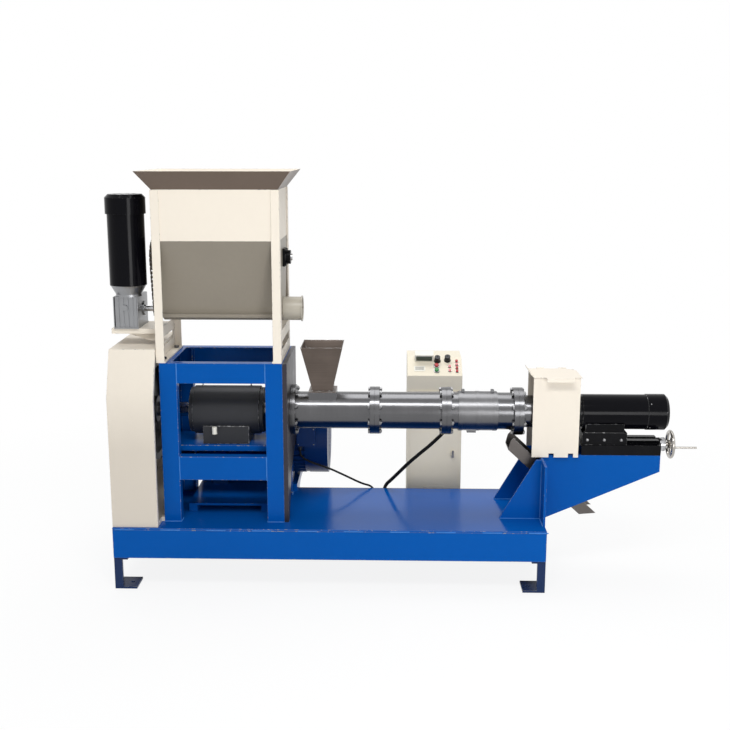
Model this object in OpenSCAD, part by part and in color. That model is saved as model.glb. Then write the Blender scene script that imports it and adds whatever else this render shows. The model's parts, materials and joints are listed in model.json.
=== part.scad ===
// Dog food extruder: single screw dry extruder with feeder, rotary cutter and control cabinet.
// +X runs along the barrel towards the die, +Y to the back, +Z up, all in millimetres.
// The origin is the centre of the floor bolt pattern, at floor level.

/* [Base frame] */
// Length of the base frame
base_length = 1560; // [1520:10:1600]
// Depth of the base frame, front to back
base_depth = 484; // [470:2:500]
// Height of the channel beams
beam_height = 109; // [100:1:120]

/* [Feet] */
// Height of the base frame above the floor
foot_height = 120; // [100:5:150]

/* [Tower] */
// Width of the tower frame
tower_width = 440; // [420:2:450]
// Depth of the tower frame
tower_depth = 352; // [340:2:360]
// Height of the tower above the deck
tower_height = 590; // [580:5:600]

/* [Main shaft] */
// Height of the shaft above the deck
shaft_rise = 380; // [376:1:384]
// Diameter of the main shaft
shaft_d = 55; // [45:1:60]
// Outer diameter of the bearing housing
housing_d = 180; // [172:1:184]
// Length of the bearing housing
housing_length = 245; // [230:1:255]

/* [Barrel] */
// Outer diameter of the barrel
barrel_od = 138; // [130:1:144]
// Bore of the barrel
barrel_bore = 80; // [70:1:86]
// Diameter of the joint flanges
flange_od = 177; // [170:1:184]
// Length of the feed section
feed_section_l = 310; // [300:1:320]
// Length of the middle section and of the die section
section_l = 265; // [255:1:275]

/* [Die] */
// Number of die holes
die_holes = 10; // [6:1:12]

/* [Feed funnel] */
// Width of the funnel's mouth, along the barrel
funnel_top_w = 152; // [140:1:160]

/* [Belt drive] */
// Width of the belt guard
guard_w = 165; // [160:1:170]
// Diameter of the large pulley
large_pulley_d = 380; // [360:2:390]
// Number of belts
belt_count = 4; // [3:1:4]

/* [Main motor] */
// Diameter over the fins
motor_d = 300; // [280:2:300]
// Length of the finned frame
motor_frame_l = 405; // [395:1:410]

/* [Hopper] */
// Height of the hopper's legs above the tower
hopper_height = 609; // [600:1:620]

/* [Feeder drive] */
// Diameter of the feeder motor
feeder_motor_d = 131; // [120:1:136]

/* [Bracket and chute] */
// Distance between the outer faces of the arm's side plates
arm_w = 136; // [130:1:144]
// Slope of the chute, in degrees
chute_slope = 42.5; // [41:0.5:44]

/* [Cutter] */
// Length of the cutter guard, along the barrel
cutter_guard_l = 170; // [165:1:180]
// Diameter of the cutter motor
cutter_motor_d = 130; // [120:1:131]

/* [Slide] */
// Length of the saddle
saddle_l = 165; // [155:1:175]
// Travel of the slide
slide_travel = 110; // [80:5:115]
// Diameter of the handwheel
handwheel_d = 108; // [100:1:110]

/* [Cabinet] */
// Width of the cabinet
cabinet_w = 226; // [215:1:240]
// Height of the cabinet's front
cabinet_front_h = 656; // [640:1:670]

/* [Hidden] */
$fn = 48;

// Overrun of every cut past the face that it opens
cut = 1;
// Radial clearance of a shaft in its bearing or bore
run_gap = 0.08;
// Gap between faces that pass each other
pass_gap = 0.3;
// Clearance of a bolt in its hole
bolt_gap = 0.5;

// Usual clear distance between neighbours, and how far a piece runs into the one it is fused to
near = 6;
sink = 1;

// Smaller sizes of the pieces
hopper_depth = 319;
funnel_top_d = 168;
cabinet_d = 240;
cutter_guard_d = 160;
deck_t = 6;
hopper_wall_h = 177;
cabinet_y = 430;
tube_bore = 82;
adaptor_d = 120;
feeder_motor_l = 257;
leg_w = 30;
foot_leg_w = 30;
foot_plate_l = 80;
foot_hole_d = 14;
top_beam_h = 73;
mid_beam_h = 88;
seat_drop = 112;
bearing_d = 130;
joint_bolts = 8;
screw_core_d = 52;
funnel_low_w = 80;
funnel_x = 117;
guard_gap = 10;
motor_centre_h = 160;
fan_cover_l = 70;
motor_shaft_d = 42;
tube_out = 64;
paddle_r = 80;
auger_shaft_d = 25;
chute_w = 100;
cutter_shaft_d = 24;
lead_screw_d = 16;
console_rise = 60;
cabinet_x = 401;
shaft_y = 10;
flare_out = 49;
flange_t = 18;
funnel_h = 156;
screw_lead = 60;
auger_lead = 60;
shelf_over = 62;
face_plate_t = 16;
die_in = 89;
cutter_motor_l = 245;
post_w = 62;
heater_w = 145;
foot_depth = 92;
cutter_guard_up = 143;
motor_back = 335;
arm_drop = 149;
small_pulley_d = 142;
foot_cap_l = 50;
foot_t = 8;
post_depth = 40;
post_wall = 5;
bearing_w = 34;
cover_t = 14;
joint_bolt_d = 10;
screw_gap = 0.6;
die_hole_d = 8;
heater_t = 4;
port_w = 58;
guard_sheet = 2;
belt_pitch = 19;
belt_w = 13;
fin_count = 36;
leg_t = 4;
hopper_sheet = 2;
chain_pitch = 15.875;
auger_teeth = 12;
agitator_teeth = 24;
feeder_cover_l = 69;
gearbox_w = 88;
gearbox_rise = 62;
arm_end_h = 62;
arm_t = 8;
end_plate_w = 400;
rib_span = 228;
rib_l = 150;
cutter_sheet = 2.5;
cutter_cover_l = 78;
blade_count = 3;
bed_h = 49;
grip_l = 78;
cabinet_sheet = 2;
console_d = 95;
die_t = 18;
adaptor_l = 38;
flare_h = 64;
seat_t = 22;
root_flange_od = 190;
worm_offset = 63;
chute_h = 46;
beam_flange = 50;
beam_wall = 7;
shelf_l = 172;

// Base, feet and deck
base_x0 = -base_length / 2;
base_x1 = base_length / 2;
base_y0 = -base_depth / 2;
base_y1 = base_depth / 2;
beam_z0 = foot_height;
beam_z1 = beam_z0 + beam_height;
deck_z = beam_z1 + deck_t;
foot_inset = 6;
foot_hole_in = 55;
hole_x = base_length / 2 - foot_hole_in;
hole_y = base_depth / 2 - foot_inset - foot_depth / 2;

// Joints of the barrel, counted back from the die end of the base to the face plate
joint_x3 = base_x1 - die_in;
joint_x2 = joint_x3 - section_l;
joint_x1 = joint_x2 - section_l;
plate_x1 = joint_x1 - feed_section_l;

// Tower
tower_x1 = plate_x1 - face_plate_t;
tower_x0 = tower_x1 - tower_width;
tower_y0 = shaft_y - tower_depth / 2;
tower_y1 = shaft_y + tower_depth / 2;
tower_z1 = deck_z + tower_height;
shaft_z = deck_z + shaft_rise;
seat_z1 = shaft_z - seat_drop;
mid_z1 = seat_z1 - seat_t;
mid_z0 = mid_z1 - mid_beam_h;
seat_half = 100;
housing_in = 96;
pulley_in = 45;
pulley_edge = 7;

// Bearing housing and shaft
housing_x0 = tower_x0 + housing_in;
housing_x1 = housing_x0 + housing_length;
shaft_r = shaft_d / 2;
pulley_w = belt_pitch * (belt_count - 1) + belt_w + 2 * pulley_edge;
guard_x1 = tower_x0 - guard_gap;
guard_x0 = guard_x1 - guard_w;
pulley_x0 = guard_x0 + pulley_in;
pulley_x1 = pulley_x0 + pulley_w;
shaft_end_out = 22;
shaft_end_x = pulley_x0 - shaft_end_out;
housing_foot_half = 82;
housing_foot_l = 170;
cover_r = housing_d / 2 - near;
seal_gap = 1;

// Barrel
barrel_r = barrel_od / 2;
bore_r = barrel_bore / 2;
joint_pcd = (flange_od + barrel_od) / 2;
root_pcd = (root_flange_od + barrel_od) / 2;
nose_x1 = joint_x3 + flange_t + adaptor_l;
die_x1 = nose_x1 + die_t;
die_r = adaptor_d / 2 - near;
die_hole_pcd = barrel_bore - 2 * near;

// Screw
screw_r = bore_r - screw_gap;
screw_x0 = plate_x1 + near;
screw_nose_l = 26;
nose_gap = 8;
screw_x1 = nose_x1 - nose_gap;
lock_l = 14;

// Heater on the die section
heater_in = 26;
heater_x0 = joint_x2 + flange_t + heater_in;
heater_x1 = heater_x0 + heater_w;
heater_r = barrel_r + heater_t;
heater_box = [34, 52, 40];
heater_box_in = 38;
heater_box_low = 7;
heater_port = [heater_x0 + heater_box_in, shaft_y + heater_r - heater_box_low, shaft_z - heater_r - sink];

// Feed funnel on the feed section
funnel_cx = plate_x1 + funnel_x;
pad_border = 22;
pad_h = 8;
pad_half = port_w / 2 + pad_border;
pad_z = shaft_z + barrel_r + pad_h;
funnel_sheet = 2;
neck_h = 14;
funnel_flange_t = 4;
funnel_z0 = pad_z + funnel_flange_t + neck_h;

// Belt guard, in the plane of the pulleys
large_r = large_pulley_d / 2;
small_r = small_pulley_d / 2;
motor_y = shaft_y + motor_back;
mount_plate_t = 8;
mount_rise = 30;
mount_z = deck_z + mount_rise;
motor_z = mount_z + motor_centre_h;
guard_in = 8;
guard_lean = 62;
guard_bend_up = 96;
guard_over = 71;
guard_past = 74;
guard_back_up = 134;
guard_y0 = base_y0 + guard_in;
guard_bend_z = shaft_z + guard_bend_up;
guard_top_z = shaft_z + large_r + guard_over;
guard_back_y = motor_y + small_r + guard_past;
guard_outline = [[guard_y0, deck_z], [guard_back_y, deck_z],
  [guard_back_y, motor_z + small_r + guard_back_up], [shaft_y + large_r, guard_top_z],
  [guard_y0 + guard_lean, guard_top_z], [guard_y0, guard_bend_z]];
guard_lip = 16;

// Belts
groove_depth = 14;
belt_h = 10.5;
belt_x0 = pulley_x0 + pulley_edge;

// Main motor
motor_r = motor_d / 2;
fin_h = 10;
fin_t = 4;
bell_l = 20;
motor_in = 60;
motor_x0 = tower_x0 + motor_in;
frame_x0 = motor_x0 + bell_l;
frame_x1 = frame_x0 + motor_frame_l;
motor_x1 = frame_x1 + bell_l;
cover_x1 = motor_x1 + fan_cover_l;
stator_r = 78;
air_gap = 1;
rotor_gap = 12;
rotor_r = stator_r - air_gap;
motor_shaft_r = motor_shaft_d / 2;
motor_foot_in = [68, 78];
motor_foot_x = [frame_x0 + motor_foot_in[0], frame_x1 - motor_foot_in[1]];
motor_foot_half = 141;
motor_foot_w = 60;
foot_pad_t = 26;
fan_r = 118;
fan_cover_t = 3;
terminal_l = 72;
terminal_h = 75;
terminal_gap = 2;
terminal_out = 38;
terminal_up = 5;
terminal_x = plate_x1 + terminal_gap;
terminal_y = motor_y - motor_r - terminal_out;
terminal_z = motor_z + terminal_up;

// Motor mount, on the deck and on brackets behind it
mount_y0 = -50;
mount_back = 160;
mount_gap = 7;
mount_end = 48;
mount_y1 = motor_y + mount_back;
mount_x0 = tower_x0 + post_w + mount_gap;
mount_x1 = tower_x1 - post_w - mount_gap;
mount_wide_x1 = motor_foot_x[1] + mount_end;
mount_wide_y0 = tower_y1 + near;
mount_bar_w = 30;
outrigger_t = 8;
outrigger_drop = 110;

// Hopper frame, shell and cone
hopper_gap = 1;
hopper_in = 2;
hopper_forward = 14.5;
hopper_x0 = guard_x1 + hopper_gap;
hopper_x1 = tower_x1 - hopper_in;
hopper_yc = shaft_y - hopper_forward;
hopper_y0 = hopper_yc - hopper_depth / 2;
hopper_y1 = hopper_yc + hopper_depth / 2;
hopper_z1 = tower_z1 + hopper_height;
cone_z1 = hopper_z1 - hopper_wall_h;
shelf_z = guard_top_z + shelf_over;
auger_z = shelf_z + gearbox_rise;
trough_r = tube_bore / 2;
trough_out_r = trough_r + hopper_sheet;
trough_split = 20;
trough_split_z = auger_z - trough_split;
trough_flange_t = 6;
trough_flange_w = 18;
trough_flange_half = trough_out_r + trough_flange_w;
shell_x0 = hopper_x0 + leg_t;
shell_x1 = hopper_x1 - leg_t;
shell_y0 = hopper_y0 + leg_t;
shell_y1 = hopper_y1 - leg_t;
tube_x1 = hopper_x1 + tube_out;
leg_foot_w = 34;
leg_foot_t = 6;
brace_h = 40;
cone_lift = 3;
cone_start_z = auger_z + cone_lift;

// Chain drive: the number of links sets the distance of the two shafts
chain_links = 42;
mean_teeth = (auger_teeth + agitator_teeth) / 2;
spread_teeth = (agitator_teeth - auger_teeth) / (2 * PI);
chain_free = chain_links - mean_teeth;
chain_centre = chain_pitch * (chain_free + sqrt(pow(chain_free, 2) - 8 * pow(spread_teeth, 2))) / 4;
agitator_z = auger_z + chain_centre;
auger_pitch_r = chain_pitch / (2 * sin(180 / auger_teeth));
agitator_pitch_r = chain_pitch / (2 * sin(180 / agitator_teeth));
chain_roller_r = 5.08;
chain_inner_w = 9.4;
chain_plate_t = 1.8;
chain_plate_r = 6.6;
chain_out = 23;
chain_x = hopper_x0 - chain_out;
sprocket_t = 8.4;
tooth_gap = 0.45;
tooth_out = 3.2;
auger_shaft_r = auger_shaft_d / 2;
auger_gap = 2.5;
core_wall = 2;
auger_r = trough_r - auger_gap;
auger_core_r = auger_shaft_r + core_wall;
auger_x0 = shell_x0 + near;
auger_x1 = tube_x1 - near;

// Flange bearings
bearing_plate = 64;
bearing_plate_t = 9;
bearing_boss_r = 25;
left_boss = 13;
right_boss = 27;
bearing_bolt_in = 23;
bearing_bolt_r = 4;
bearing_head_h = 5;

// Feeder drive
shelf_t = 5;
shelf_lip = 19;
shelf_x0 = hopper_x0 - shelf_l;
shelf_front = 92;
shelf_back = 80;
shelf_y0 = hopper_yc - shelf_front;
shelf_y1 = hopper_yc + shelf_back;
gearbox_out = 72;
gearbox_x1 = hopper_x0 - gearbox_out;
gearbox_x0 = gearbox_x1 - gearbox_w;
gearbox_cx = (gearbox_x0 + gearbox_x1) / 2 + near;
gearbox_wheel_r = 60;
neck_over = 2;
feeder_y = hopper_yc - worm_offset;
feeder_r = feeder_motor_d / 2;
feeder_bell_h = 28;
feeder_z0 = shelf_z + 2 * gearbox_rise + feeder_bell_h;
feeder_z1 = feeder_z0 + feeder_motor_l;
feeder_cover_r = feeder_r + near;

// Support bracket
arm_y0 = shaft_y - arm_w / 2;
arm_y1 = shaft_y + arm_w / 2;
arm_z = shaft_z - arm_drop;
arm_low = 20;
arm_low_z = deck_z - arm_low;
top_plate_in = 145;
top_plate_x0 = base_x1 + top_plate_in;
top_plate_t = 10;
end_plate_in = 7;
rib_y0 = shaft_y - rib_span / 2;
rib_y1 = shaft_y + rib_span / 2;
chute_slot_low = 50;

// Chute, laid along its slope
chute_t = 2.5;
chute_in = 16;
chute_up = 58;
chute_out = 209;
chute_top = [joint_x3 - chute_in, arm_z + chute_up];
chute_end_x = base_x1 + chute_out;
chute_run = (chute_end_x - chute_top[0]) / cos(chute_slope);
chute_nose_share = 0.35;

// Cutter guard and its lid
guard_ahead = 48;
cg_x0 = joint_x3 + guard_ahead;
cg_x1 = cg_x0 + cutter_guard_l;
cg_y0 = shaft_y - cutter_guard_d / 2;
cg_y1 = shaft_y + cutter_guard_d / 2;
cg_z0 = arm_z - near;
cg_z1 = shaft_z + cutter_guard_up;
notch_w = 19;
notch_h = 15;
notch_in = [62, 133];
notch_x = [for (x = notch_in) cg_x0 + x];
lid_t = 2.5;
lid_gap = 0.5;
lid_corner = 34;
lid_lip = 14;
handle_l = 100;
handle_out = 22;
handle_in = 44;
handle_x0 = cg_x0 + handle_in;
hinge_r = 5;
hinge_pin_r = 2.5;
hinge_y = cg_y1 + hinge_r + sink;
hinge_z = cg_z1 + lid_gap;
guard_hinge_l = 28;
guard_hinge_in = 30;
guard_hinge_x = [cg_x0 + guard_hinge_in, cg_x1 - guard_hinge_in - guard_hinge_l];

// Cutter motor, shaft and blades
motor_flange_t = 10;
motor_flange_r = 68;
cm_x0 = cg_x1 + motor_flange_t;
cm_x1 = cm_x0 + cutter_motor_l;
cm_x2 = cm_x1 + cutter_cover_l;
cutter_r = cutter_motor_d / 2;
cover_over = 2;
cutter_bore_l = 60;
cutter_cover_r = cutter_r + cover_over;
cutter_shaft_r = cutter_shaft_d / 2;
blade_gap = 0.5;
blade_t = 4;
blade_x0 = die_x1 + blade_gap;
blade_w = 24;
blade_over = 4;
blade_r = die_r + blade_over;
hub_r = 22;
hub_l = 30;

// Slide: bed, saddle and lead screw
bed_z1 = arm_z + bed_h;
dovetail_h = 12;
dovetail_half = 34;
dovetail_flare = 6;
bed_slot_half = 13;
saddle_in = 16;
saddle_x0 = cg_x1 + saddle_in;
saddle_x1 = saddle_x0 + saddle_l;
bed_spare = 13;
arm_x1 = saddle_x1 + slide_travel + bed_spare;
bed_x0 = saddle_x0 - 2 * sink;
saddle_half = 58;
cradle_gap = 1.5;
saddle_z1 = shaft_z - cutter_r - cradle_gap;
saddle_z0 = bed_z1 + pass_gap;
lead_down = 24;
lead_z = arm_z + bed_h - lead_down;
lead_r = lead_screw_d / 2;
nut_wall = 3;
nut_r = lead_r + nut_wall;
end_cap_t = 8;
collar_r = 25;
collar_l = 21;
wheel_out = 22;
wheel_x = arm_x1 + end_cap_t + collar_l + wheel_out;
wheel_rim_r = 7;
wheel_r = handwheel_d / 2 - wheel_rim_r;
wheel_hub_l = 26;
grip_r = 4;
grip_pin_r = 2.5;
spoke_r = 5;
spokes = 3;

// Cabinet and console
cab_x0 = cabinet_x - cabinet_w / 2;
cab_x1 = cabinet_x + cabinet_w / 2;
cab_y1 = cabinet_y + cabinet_d;
cab_z1 = cabinet_front_h + console_rise;
console_angle = atan(console_rise / console_d);
cab_outline = [[cabinet_y, 0], [cab_y1, 0], [cab_y1, cab_z1], [cabinet_y + console_d, cab_z1],
  [cabinet_y, cabinet_front_h]];
door_margin = 12;
door_open_margin = 22;
door_z0 = 60;
door_top_gap = 62;
door_z1 = cabinet_front_h - door_top_gap;
door_t = 3;
door_y = cabinet_y - pass_gap;
door_pin_r = 2.5;
door_knuckle_r = 5;
door_hinge_x = cab_x0 + near;
door_hinge_gap = 2;
door_hinge_y = door_y - door_t - door_hinge_gap;
door_knuckle_l = 22;
door_hinge_in = 60;
door_hinge_z = [door_z0 + door_hinge_in, door_z1 - door_hinge_in - door_knuckle_l];
lock_r = 11;
lock_out = 9;

// Places on the console, across it and up its slope
button_r = 9;
button_bezel_r = 13;
button_out = 7;
bezel_t = 3;
button_travel = 3;
knob_r = 12;
knob_h = 20;
knob_base_t = 4;
knob_edge = 2;
start_at = [8, 30];
stop_at = [8, 58];
lamp_at = [[92, 26], [92, 46], [92, 66], [92, 86], [62, 30], [62, 54]];
lamp_r = 6;
lamp_h = 7;
knob_left_at = [12, 88];
knob_right_at = [54, 92];
meter_at = [-43, 98];
meter_size = [78, 28, 36];
legend_at = [-62, 42];
legend_size = [46, 30, 1.5];

// Cable glands: a hexagon and a rounded cap
gland_hex_l = 8;
gland_cap_l = 12;
gland_wall = 3.5;
conduit_r = 7;
cable_r = 4;

// Route of the heater's conduit, from its gland down behind the base and along the floor
conduit_route = [[488, 76, 541], [474, 76, 541], [458, 76, 538], [441, 76, 529], [425, 77, 515],
  [411, 79, 500], [392, 85, 479], [369, 94, 454], [341, 106, 426], [315, 122, 398], [288, 142, 367],
  [264, 166, 335], [241, 192, 303], [221, 220, 274], [204, 246, 248], [194, 266, 216], [187, 281, 180],
  [183, 293, 142], [181, 303, 104], [180, 313, 68], [180, 326, 38], [180, 346, 17], [180, 374, 8],
  [180, 402, 7], [180, 428, 7], [183, 447, 8], [190, 464, 12], [201, 479, 18], [216, 490, 26],
  [233, 498, 33], [252, 500, 38], [268, 500, 38]];
// Route of the main motor's cable, from the terminal box to the cabinet
motor_route = [[-135, 176, 410], [-135, 176, 399], [-131, 176, 387], [-121, 176, 376], [-106, 176, 367],
  [-86, 176, 358], [-62, 177, 349], [-36, 179, 339], [-10, 183, 328], [16, 189, 314], [42, 197, 299],
  [68, 207, 283], [93, 219, 267], [116, 231, 254], [136, 243, 244], [150, 256, 228], [156, 268, 206],
  [158, 279, 182], [158, 289, 157], [157, 299, 131], [155, 309, 105], [152, 320, 79], [150, 334, 53],
  [148, 352, 30], [147, 374, 13], [146, 400, 5], [146, 426, 4], [146, 452, 4], [148, 478, 4],
  [154, 503, 6], [166, 525, 12], [183, 543, 22], [204, 555, 35], [227, 560, 47], [249, 560, 56],
  [268, 560, 56]];

// A box between low and high corners along each axis
module box(x, y, z) {
  translate([x[0], y[0], z[0]]) cube([x[1] - x[0], y[1] - y[0], z[1] - z[0]]);
}
// Flat shapes drawn across each axis: (y, z) along X, (x, z) along Y, (x, y) along Z
module along_x(x0, x1) {
  translate([x0, 0, 0]) rotate([90, 0, 90]) linear_extrude(x1 - x0) children();
}
module past_x(x0, x1) {
  along_x(x0 - cut, x1 + cut) children();
}
module along_y(y0, y1) {
  translate([0, y1, 0]) rotate([90, 0, 0]) linear_extrude(y1 - y0) children();
}
module along_z(z0, z1) {
  translate([0, 0, z0]) linear_extrude(z1 - z0) children();
}
module rect(a, b) {
  translate([a[0], b[0]]) square([a[1] - a[0], b[1] - b[0]]);
}
module disc(r, at) {
  translate(at) circle(r);
}
// A square pipe that flares out from one height to the next, where its two outlines meet
module flared(x, y, rim_x, rim_y, z, over) {
  function outline(low, high) = concat([[high[0], z[2]], [low[0], z[1]], [low[0], z[0] - over],
      [low[1], z[0] - over], [low[1], z[1]], [high[1], z[2]]],
    over > 0 ? [[high[1], z[2] + over], [high[0], z[2] + over]] : []);
  intersection() {
    along_y(rim_y[0], rim_y[1]) polygon(outline(x, rim_x));
    along_x(rim_x[0], rim_x[1]) polygon(outline(y, rim_y));
  }
}
function span(middle, half) = [middle - half, middle + half];
// Places of count copies on a pitch circle round a point of the (y, z) plane
function on_circle(count, pcd, at, turn = 0) =
  [for (i = [0 : count - 1]) at + pcd / 2 * [cos(turn + 360 * i / count), sin(turn + 360 * i / count)]];
shaft_at = [shaft_y, shaft_z];
motor_at = [motor_y, motor_z];
auger_at = [hopper_yc, auger_z];
agitator_at = [hopper_yc, agitator_z];

// A convex outline drawn in by a wall, corner by corner
function edge_in(a, b, wall) = let (d = (b - a) / norm(b - a)) [a + wall * [-d[1], d[0]], d];
function crossing(p, q) =
  let (c = p[1][0] * q[1][1] - p[1][1] * q[1][0])
  let (w = q[0] - p[0])
  p[0] + p[1] * (w[0] * q[1][1] - w[1] * q[1][0]) / c;
function drawn_in(points, wall) =
  let (n = len(points))
  [for (i = [0 : n - 1])
    crossing(edge_in(points[(i + n - 1) % n], points[i], wall),
      edge_in(points[i], points[(i + 1) % n], wall))];

// A channel's section: web at the left, flanges to the right
module c_section(w, h, t) {
  difference() {
    square([w, h]);
    translate([t, t]) square([w, h - 2 * t]);
  }
}
// Hexagon bolt along X with its head on a face, shank towards +X, nut at the far end
head_h_share = 0.65;
head_r_share = 0.92;
module bolt_x(at, x, grip, d) {
  head_h = d * head_h_share;
  head_r = d * head_r_share;
  translate([x, at[0], at[1]]) rotate([0, 90, 0]) {
    translate([0, 0, -head_h]) cylinder(r = head_r, h = head_h, $fn = 6);
    translate([0, 0, -head_h / 2]) cylinder(d = d, h = grip + head_h / 2);
    translate([0, 0, grip]) cylinder(r = head_r, h = head_h, $fn = 6);
    translate([0, 0, grip]) cylinder(d = d, h = 1.4 * head_h);
  }
}
// Hexagon head on a washer, standing on a face that looks up
module bolt_head_z(at, z, d) {
  washer_h = d / 5;
  translate([at[0], at[1], z]) {
    cylinder(r = d, h = washer_h);
    translate([0, 0, washer_h]) cylinder(r = d * head_r_share, h = d * head_h_share, $fn = 6);
  }
}

module beam() {
  c_section(beam_flange, beam_height, beam_wall);
}
module base_frame() {
  cross_share = 0.19;
  cross_x = [tower_x1, base_length * cross_share];
  color("royalblue") {
    for (side = [0, 1]) {
      along_x(base_x0, base_x1) mirror([side, 0]) translate([base_y0, beam_z0]) beam();
      along_y(base_y0, base_y1) mirror([side, 0]) translate([base_x0, beam_z0]) beam();
    }
    for (x = cross_x) along_y(base_y0 + beam_wall, base_y1 - beam_wall) translate([x, beam_z0]) beam();
  }
}

module base_deck() {
  color("royalblue") box([base_x0, base_x1], [base_y0, base_y1], [beam_z1, deck_z]);
}

// One foot at the left front corner: an angle leg on a drilled plate, under a short cap plate
module foot() {
  y0 = base_y0 + foot_inset;
  difference() {
    union() {
      box([base_x0, base_x0 + foot_plate_l], [y0, y0 + foot_depth], [0, foot_t]);
      box([base_x0, base_x0 + foot_cap_l], [y0, y0 + foot_depth], [beam_z0 - foot_t, beam_z0]);
      box([base_x0, base_x0 + foot_leg_w], [y0, y0 + foot_t], [0, beam_z0]);
      box([base_x0, base_x0 + foot_t], [y0, y0 + foot_depth], [0, beam_z0]);
    }
    translate([-hole_x, -hole_y, -cut]) cylinder(d = foot_hole_d, h = foot_t + 2 * cut);
  }
}
module floor_feet() {
  color("midnightblue") for (i = [0, 1], j = [0, 1]) mirror([i, 0, 0]) mirror([0, j, 0]) foot();
}

// One long side of the tower: two posts and two beams, webs outwards
module tower_side() {
  for (x = [tower_x0, tower_x1 - post_w]) along_z(deck_z, tower_z1) translate([x + post_w, tower_y0])
    rotate(90) c_section(post_depth, post_w, post_wall);
  for (z = [[mid_z0, mid_z1], [tower_z1 - top_beam_h, tower_z1]])
    along_x(tower_x0, tower_x1) translate([tower_y0, z[0]])
      c_section(post_depth, z[1] - z[0], post_wall);
}
module tower_frame() {
  color("royalblue") {
    tower_side();
    translate([0, 2 * shaft_y, 0]) mirror([0, 1, 0]) tower_side();
    for (z = [[mid_z0, mid_z1], [tower_z1 - top_beam_h, tower_z1]]) {
      along_y(tower_y0, tower_y1) translate([tower_x0, z[0]])
        c_section(post_depth, z[1] - z[0], post_wall);
      along_y(tower_y0, tower_y1) translate([tower_x1, z[0]]) mirror([1, 0])
        c_section(post_depth, z[1] - z[0], post_wall);
    }
    box([tower_x0, tower_x1], span(shaft_y, seat_half), [mid_z1, seat_z1]);
  }
}

module face_plate() {
  edge = [[tower_y0, deck_z], [tower_y0 + post_w / 2, deck_z], [shaft_y - seat_half / 2, mid_z0],
    [tower_y1, mid_z1], [tower_y1, tower_z1], [tower_y0, tower_z1]];
  color("dimgray") along_x(tower_x1, plate_x1) difference() {
    polygon(edge);
    disc(shaft_r + near, shaft_at);
    bolt_holes(root_pcd);
  }
}

module bearing_housing() {
  foot_x0 = (housing_x0 + housing_x1 - housing_foot_l) / 2;
  color("slategray") difference() {
    union() {
      along_x(housing_x0, housing_x1) disc(housing_d / 2, shaft_at);
      box([foot_x0, foot_x0 + housing_foot_l],
        span(shaft_y, housing_foot_half), [seat_z1, shaft_z - housing_d / 4]);
    }
    past_x(housing_x0, housing_x1) disc(bearing_d / 2, shaft_at);
  }
}
module housing_covers() {
  color("dimgray") for (x = [housing_x0 - cover_t, housing_x1]) along_x(x, x + cover_t) difference() {
    disc(cover_r, shaft_at);
    disc(shaft_r + seal_gap, shaft_at);
  }
}
module bearing_rings() {
  color("silver") for (x = [housing_x0, (housing_x0 + housing_x1 - bearing_w) / 2, housing_x1 - bearing_w])
    along_x(x, x + bearing_w) difference() {
      disc(bearing_d / 2, shaft_at);
      disc(shaft_r + run_gap, shaft_at);
    }
}
// Oil cup on an elbow, on the front of the housing
module oil_sight() {
  cup_r = 9;
  cup_h = 26;
  stem_r = 5;
  cup_in = 84;
  cup_gap = 3;
  cup_up = 22;
  cup_x = housing_x0 + cup_in;
  cup_y = shaft_y - housing_d / 2 - cup_r - cup_gap;
  cup_z = shaft_z - housing_d / 2 + cup_up;
  color("white") {
    translate([cup_x, cup_y, cup_z]) cylinder(r = cup_r, h = cup_h);
    along_y(cup_y, shaft_y - housing_foot_half) disc(stem_r, [cup_x, cup_z + cup_r]);
  }
}

// Places and holes of a joint's bolts
function bolt_places(pcd) = on_circle(joint_bolts, pcd, shaft_at, 180 / joint_bolts);
module bolt_holes(pcd) {
  for (at = bolt_places(pcd)) disc(joint_bolt_d / 2 + bolt_gap, at);
}
// A tube with a flange at each end and bolt holes through both
module barrel_tube(x0, x1, root = false) {
  difference() {
    union() {
      along_x(x0, x1) disc(barrel_r, shaft_at);
      along_x(x0, x0 + flange_t) disc((root ? root_flange_od : flange_od) / 2, shaft_at);
      along_x(x1 - flange_t, x1) disc(flange_od / 2, shaft_at);
      children();
    }
    past_x(x0, x1) disc(bore_r, shaft_at);
    past_x(x0, x0 + flange_t) bolt_holes(root ? root_pcd : joint_pcd);
    past_x(x1 - flange_t, x1) bolt_holes(joint_pcd);
  }
}
module barrel_feed_section() {
  color("lightgray") difference() {
    barrel_tube(plate_x1, joint_x1, true)
      box(span(funnel_cx, pad_half), span(shaft_y, pad_half),
        [shaft_z + bore_r, pad_z]);
    box(span(funnel_cx, port_w / 2), span(shaft_y, port_w / 2),
      [shaft_z, pad_z + cut]);
  }
}
module barrel_middle_section() {
  color("lightgray") barrel_tube(joint_x1, joint_x2);
}
module barrel_die_section() {
  color("lightgray") barrel_tube(joint_x2, joint_x3);
}
module flange_bolts() {
  color("gray") {
    for (x = [joint_x1, joint_x2, joint_x3])
      for (at = bolt_places(joint_pcd)) bolt_x(at, x - flange_t, 2 * flange_t, joint_bolt_d);
    for (at = bolt_places(root_pcd))
      bolt_x(at, tower_x1, face_plate_t + flange_t, joint_bolt_d);
  }
}
module die_adaptor() {
  color("silver") difference() {
    union() {
      along_x(joint_x3, joint_x3 + flange_t) disc(flange_od / 2, shaft_at);
      along_x(joint_x3, nose_x1) disc(adaptor_d / 2, shaft_at);
    }
    past_x(joint_x3, nose_x1) disc(bore_r, shaft_at);
    past_x(joint_x3, joint_x3 + flange_t) bolt_holes(joint_pcd);
  }
}
module die_plate() {
  color("gainsboro") along_x(nose_x1, die_x1) difference() {
    disc(die_r, shaft_at);
    for (at = on_circle(die_holes, die_hole_pcd, shaft_at)) disc(die_hole_d / 2, at);
  }
}
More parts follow.
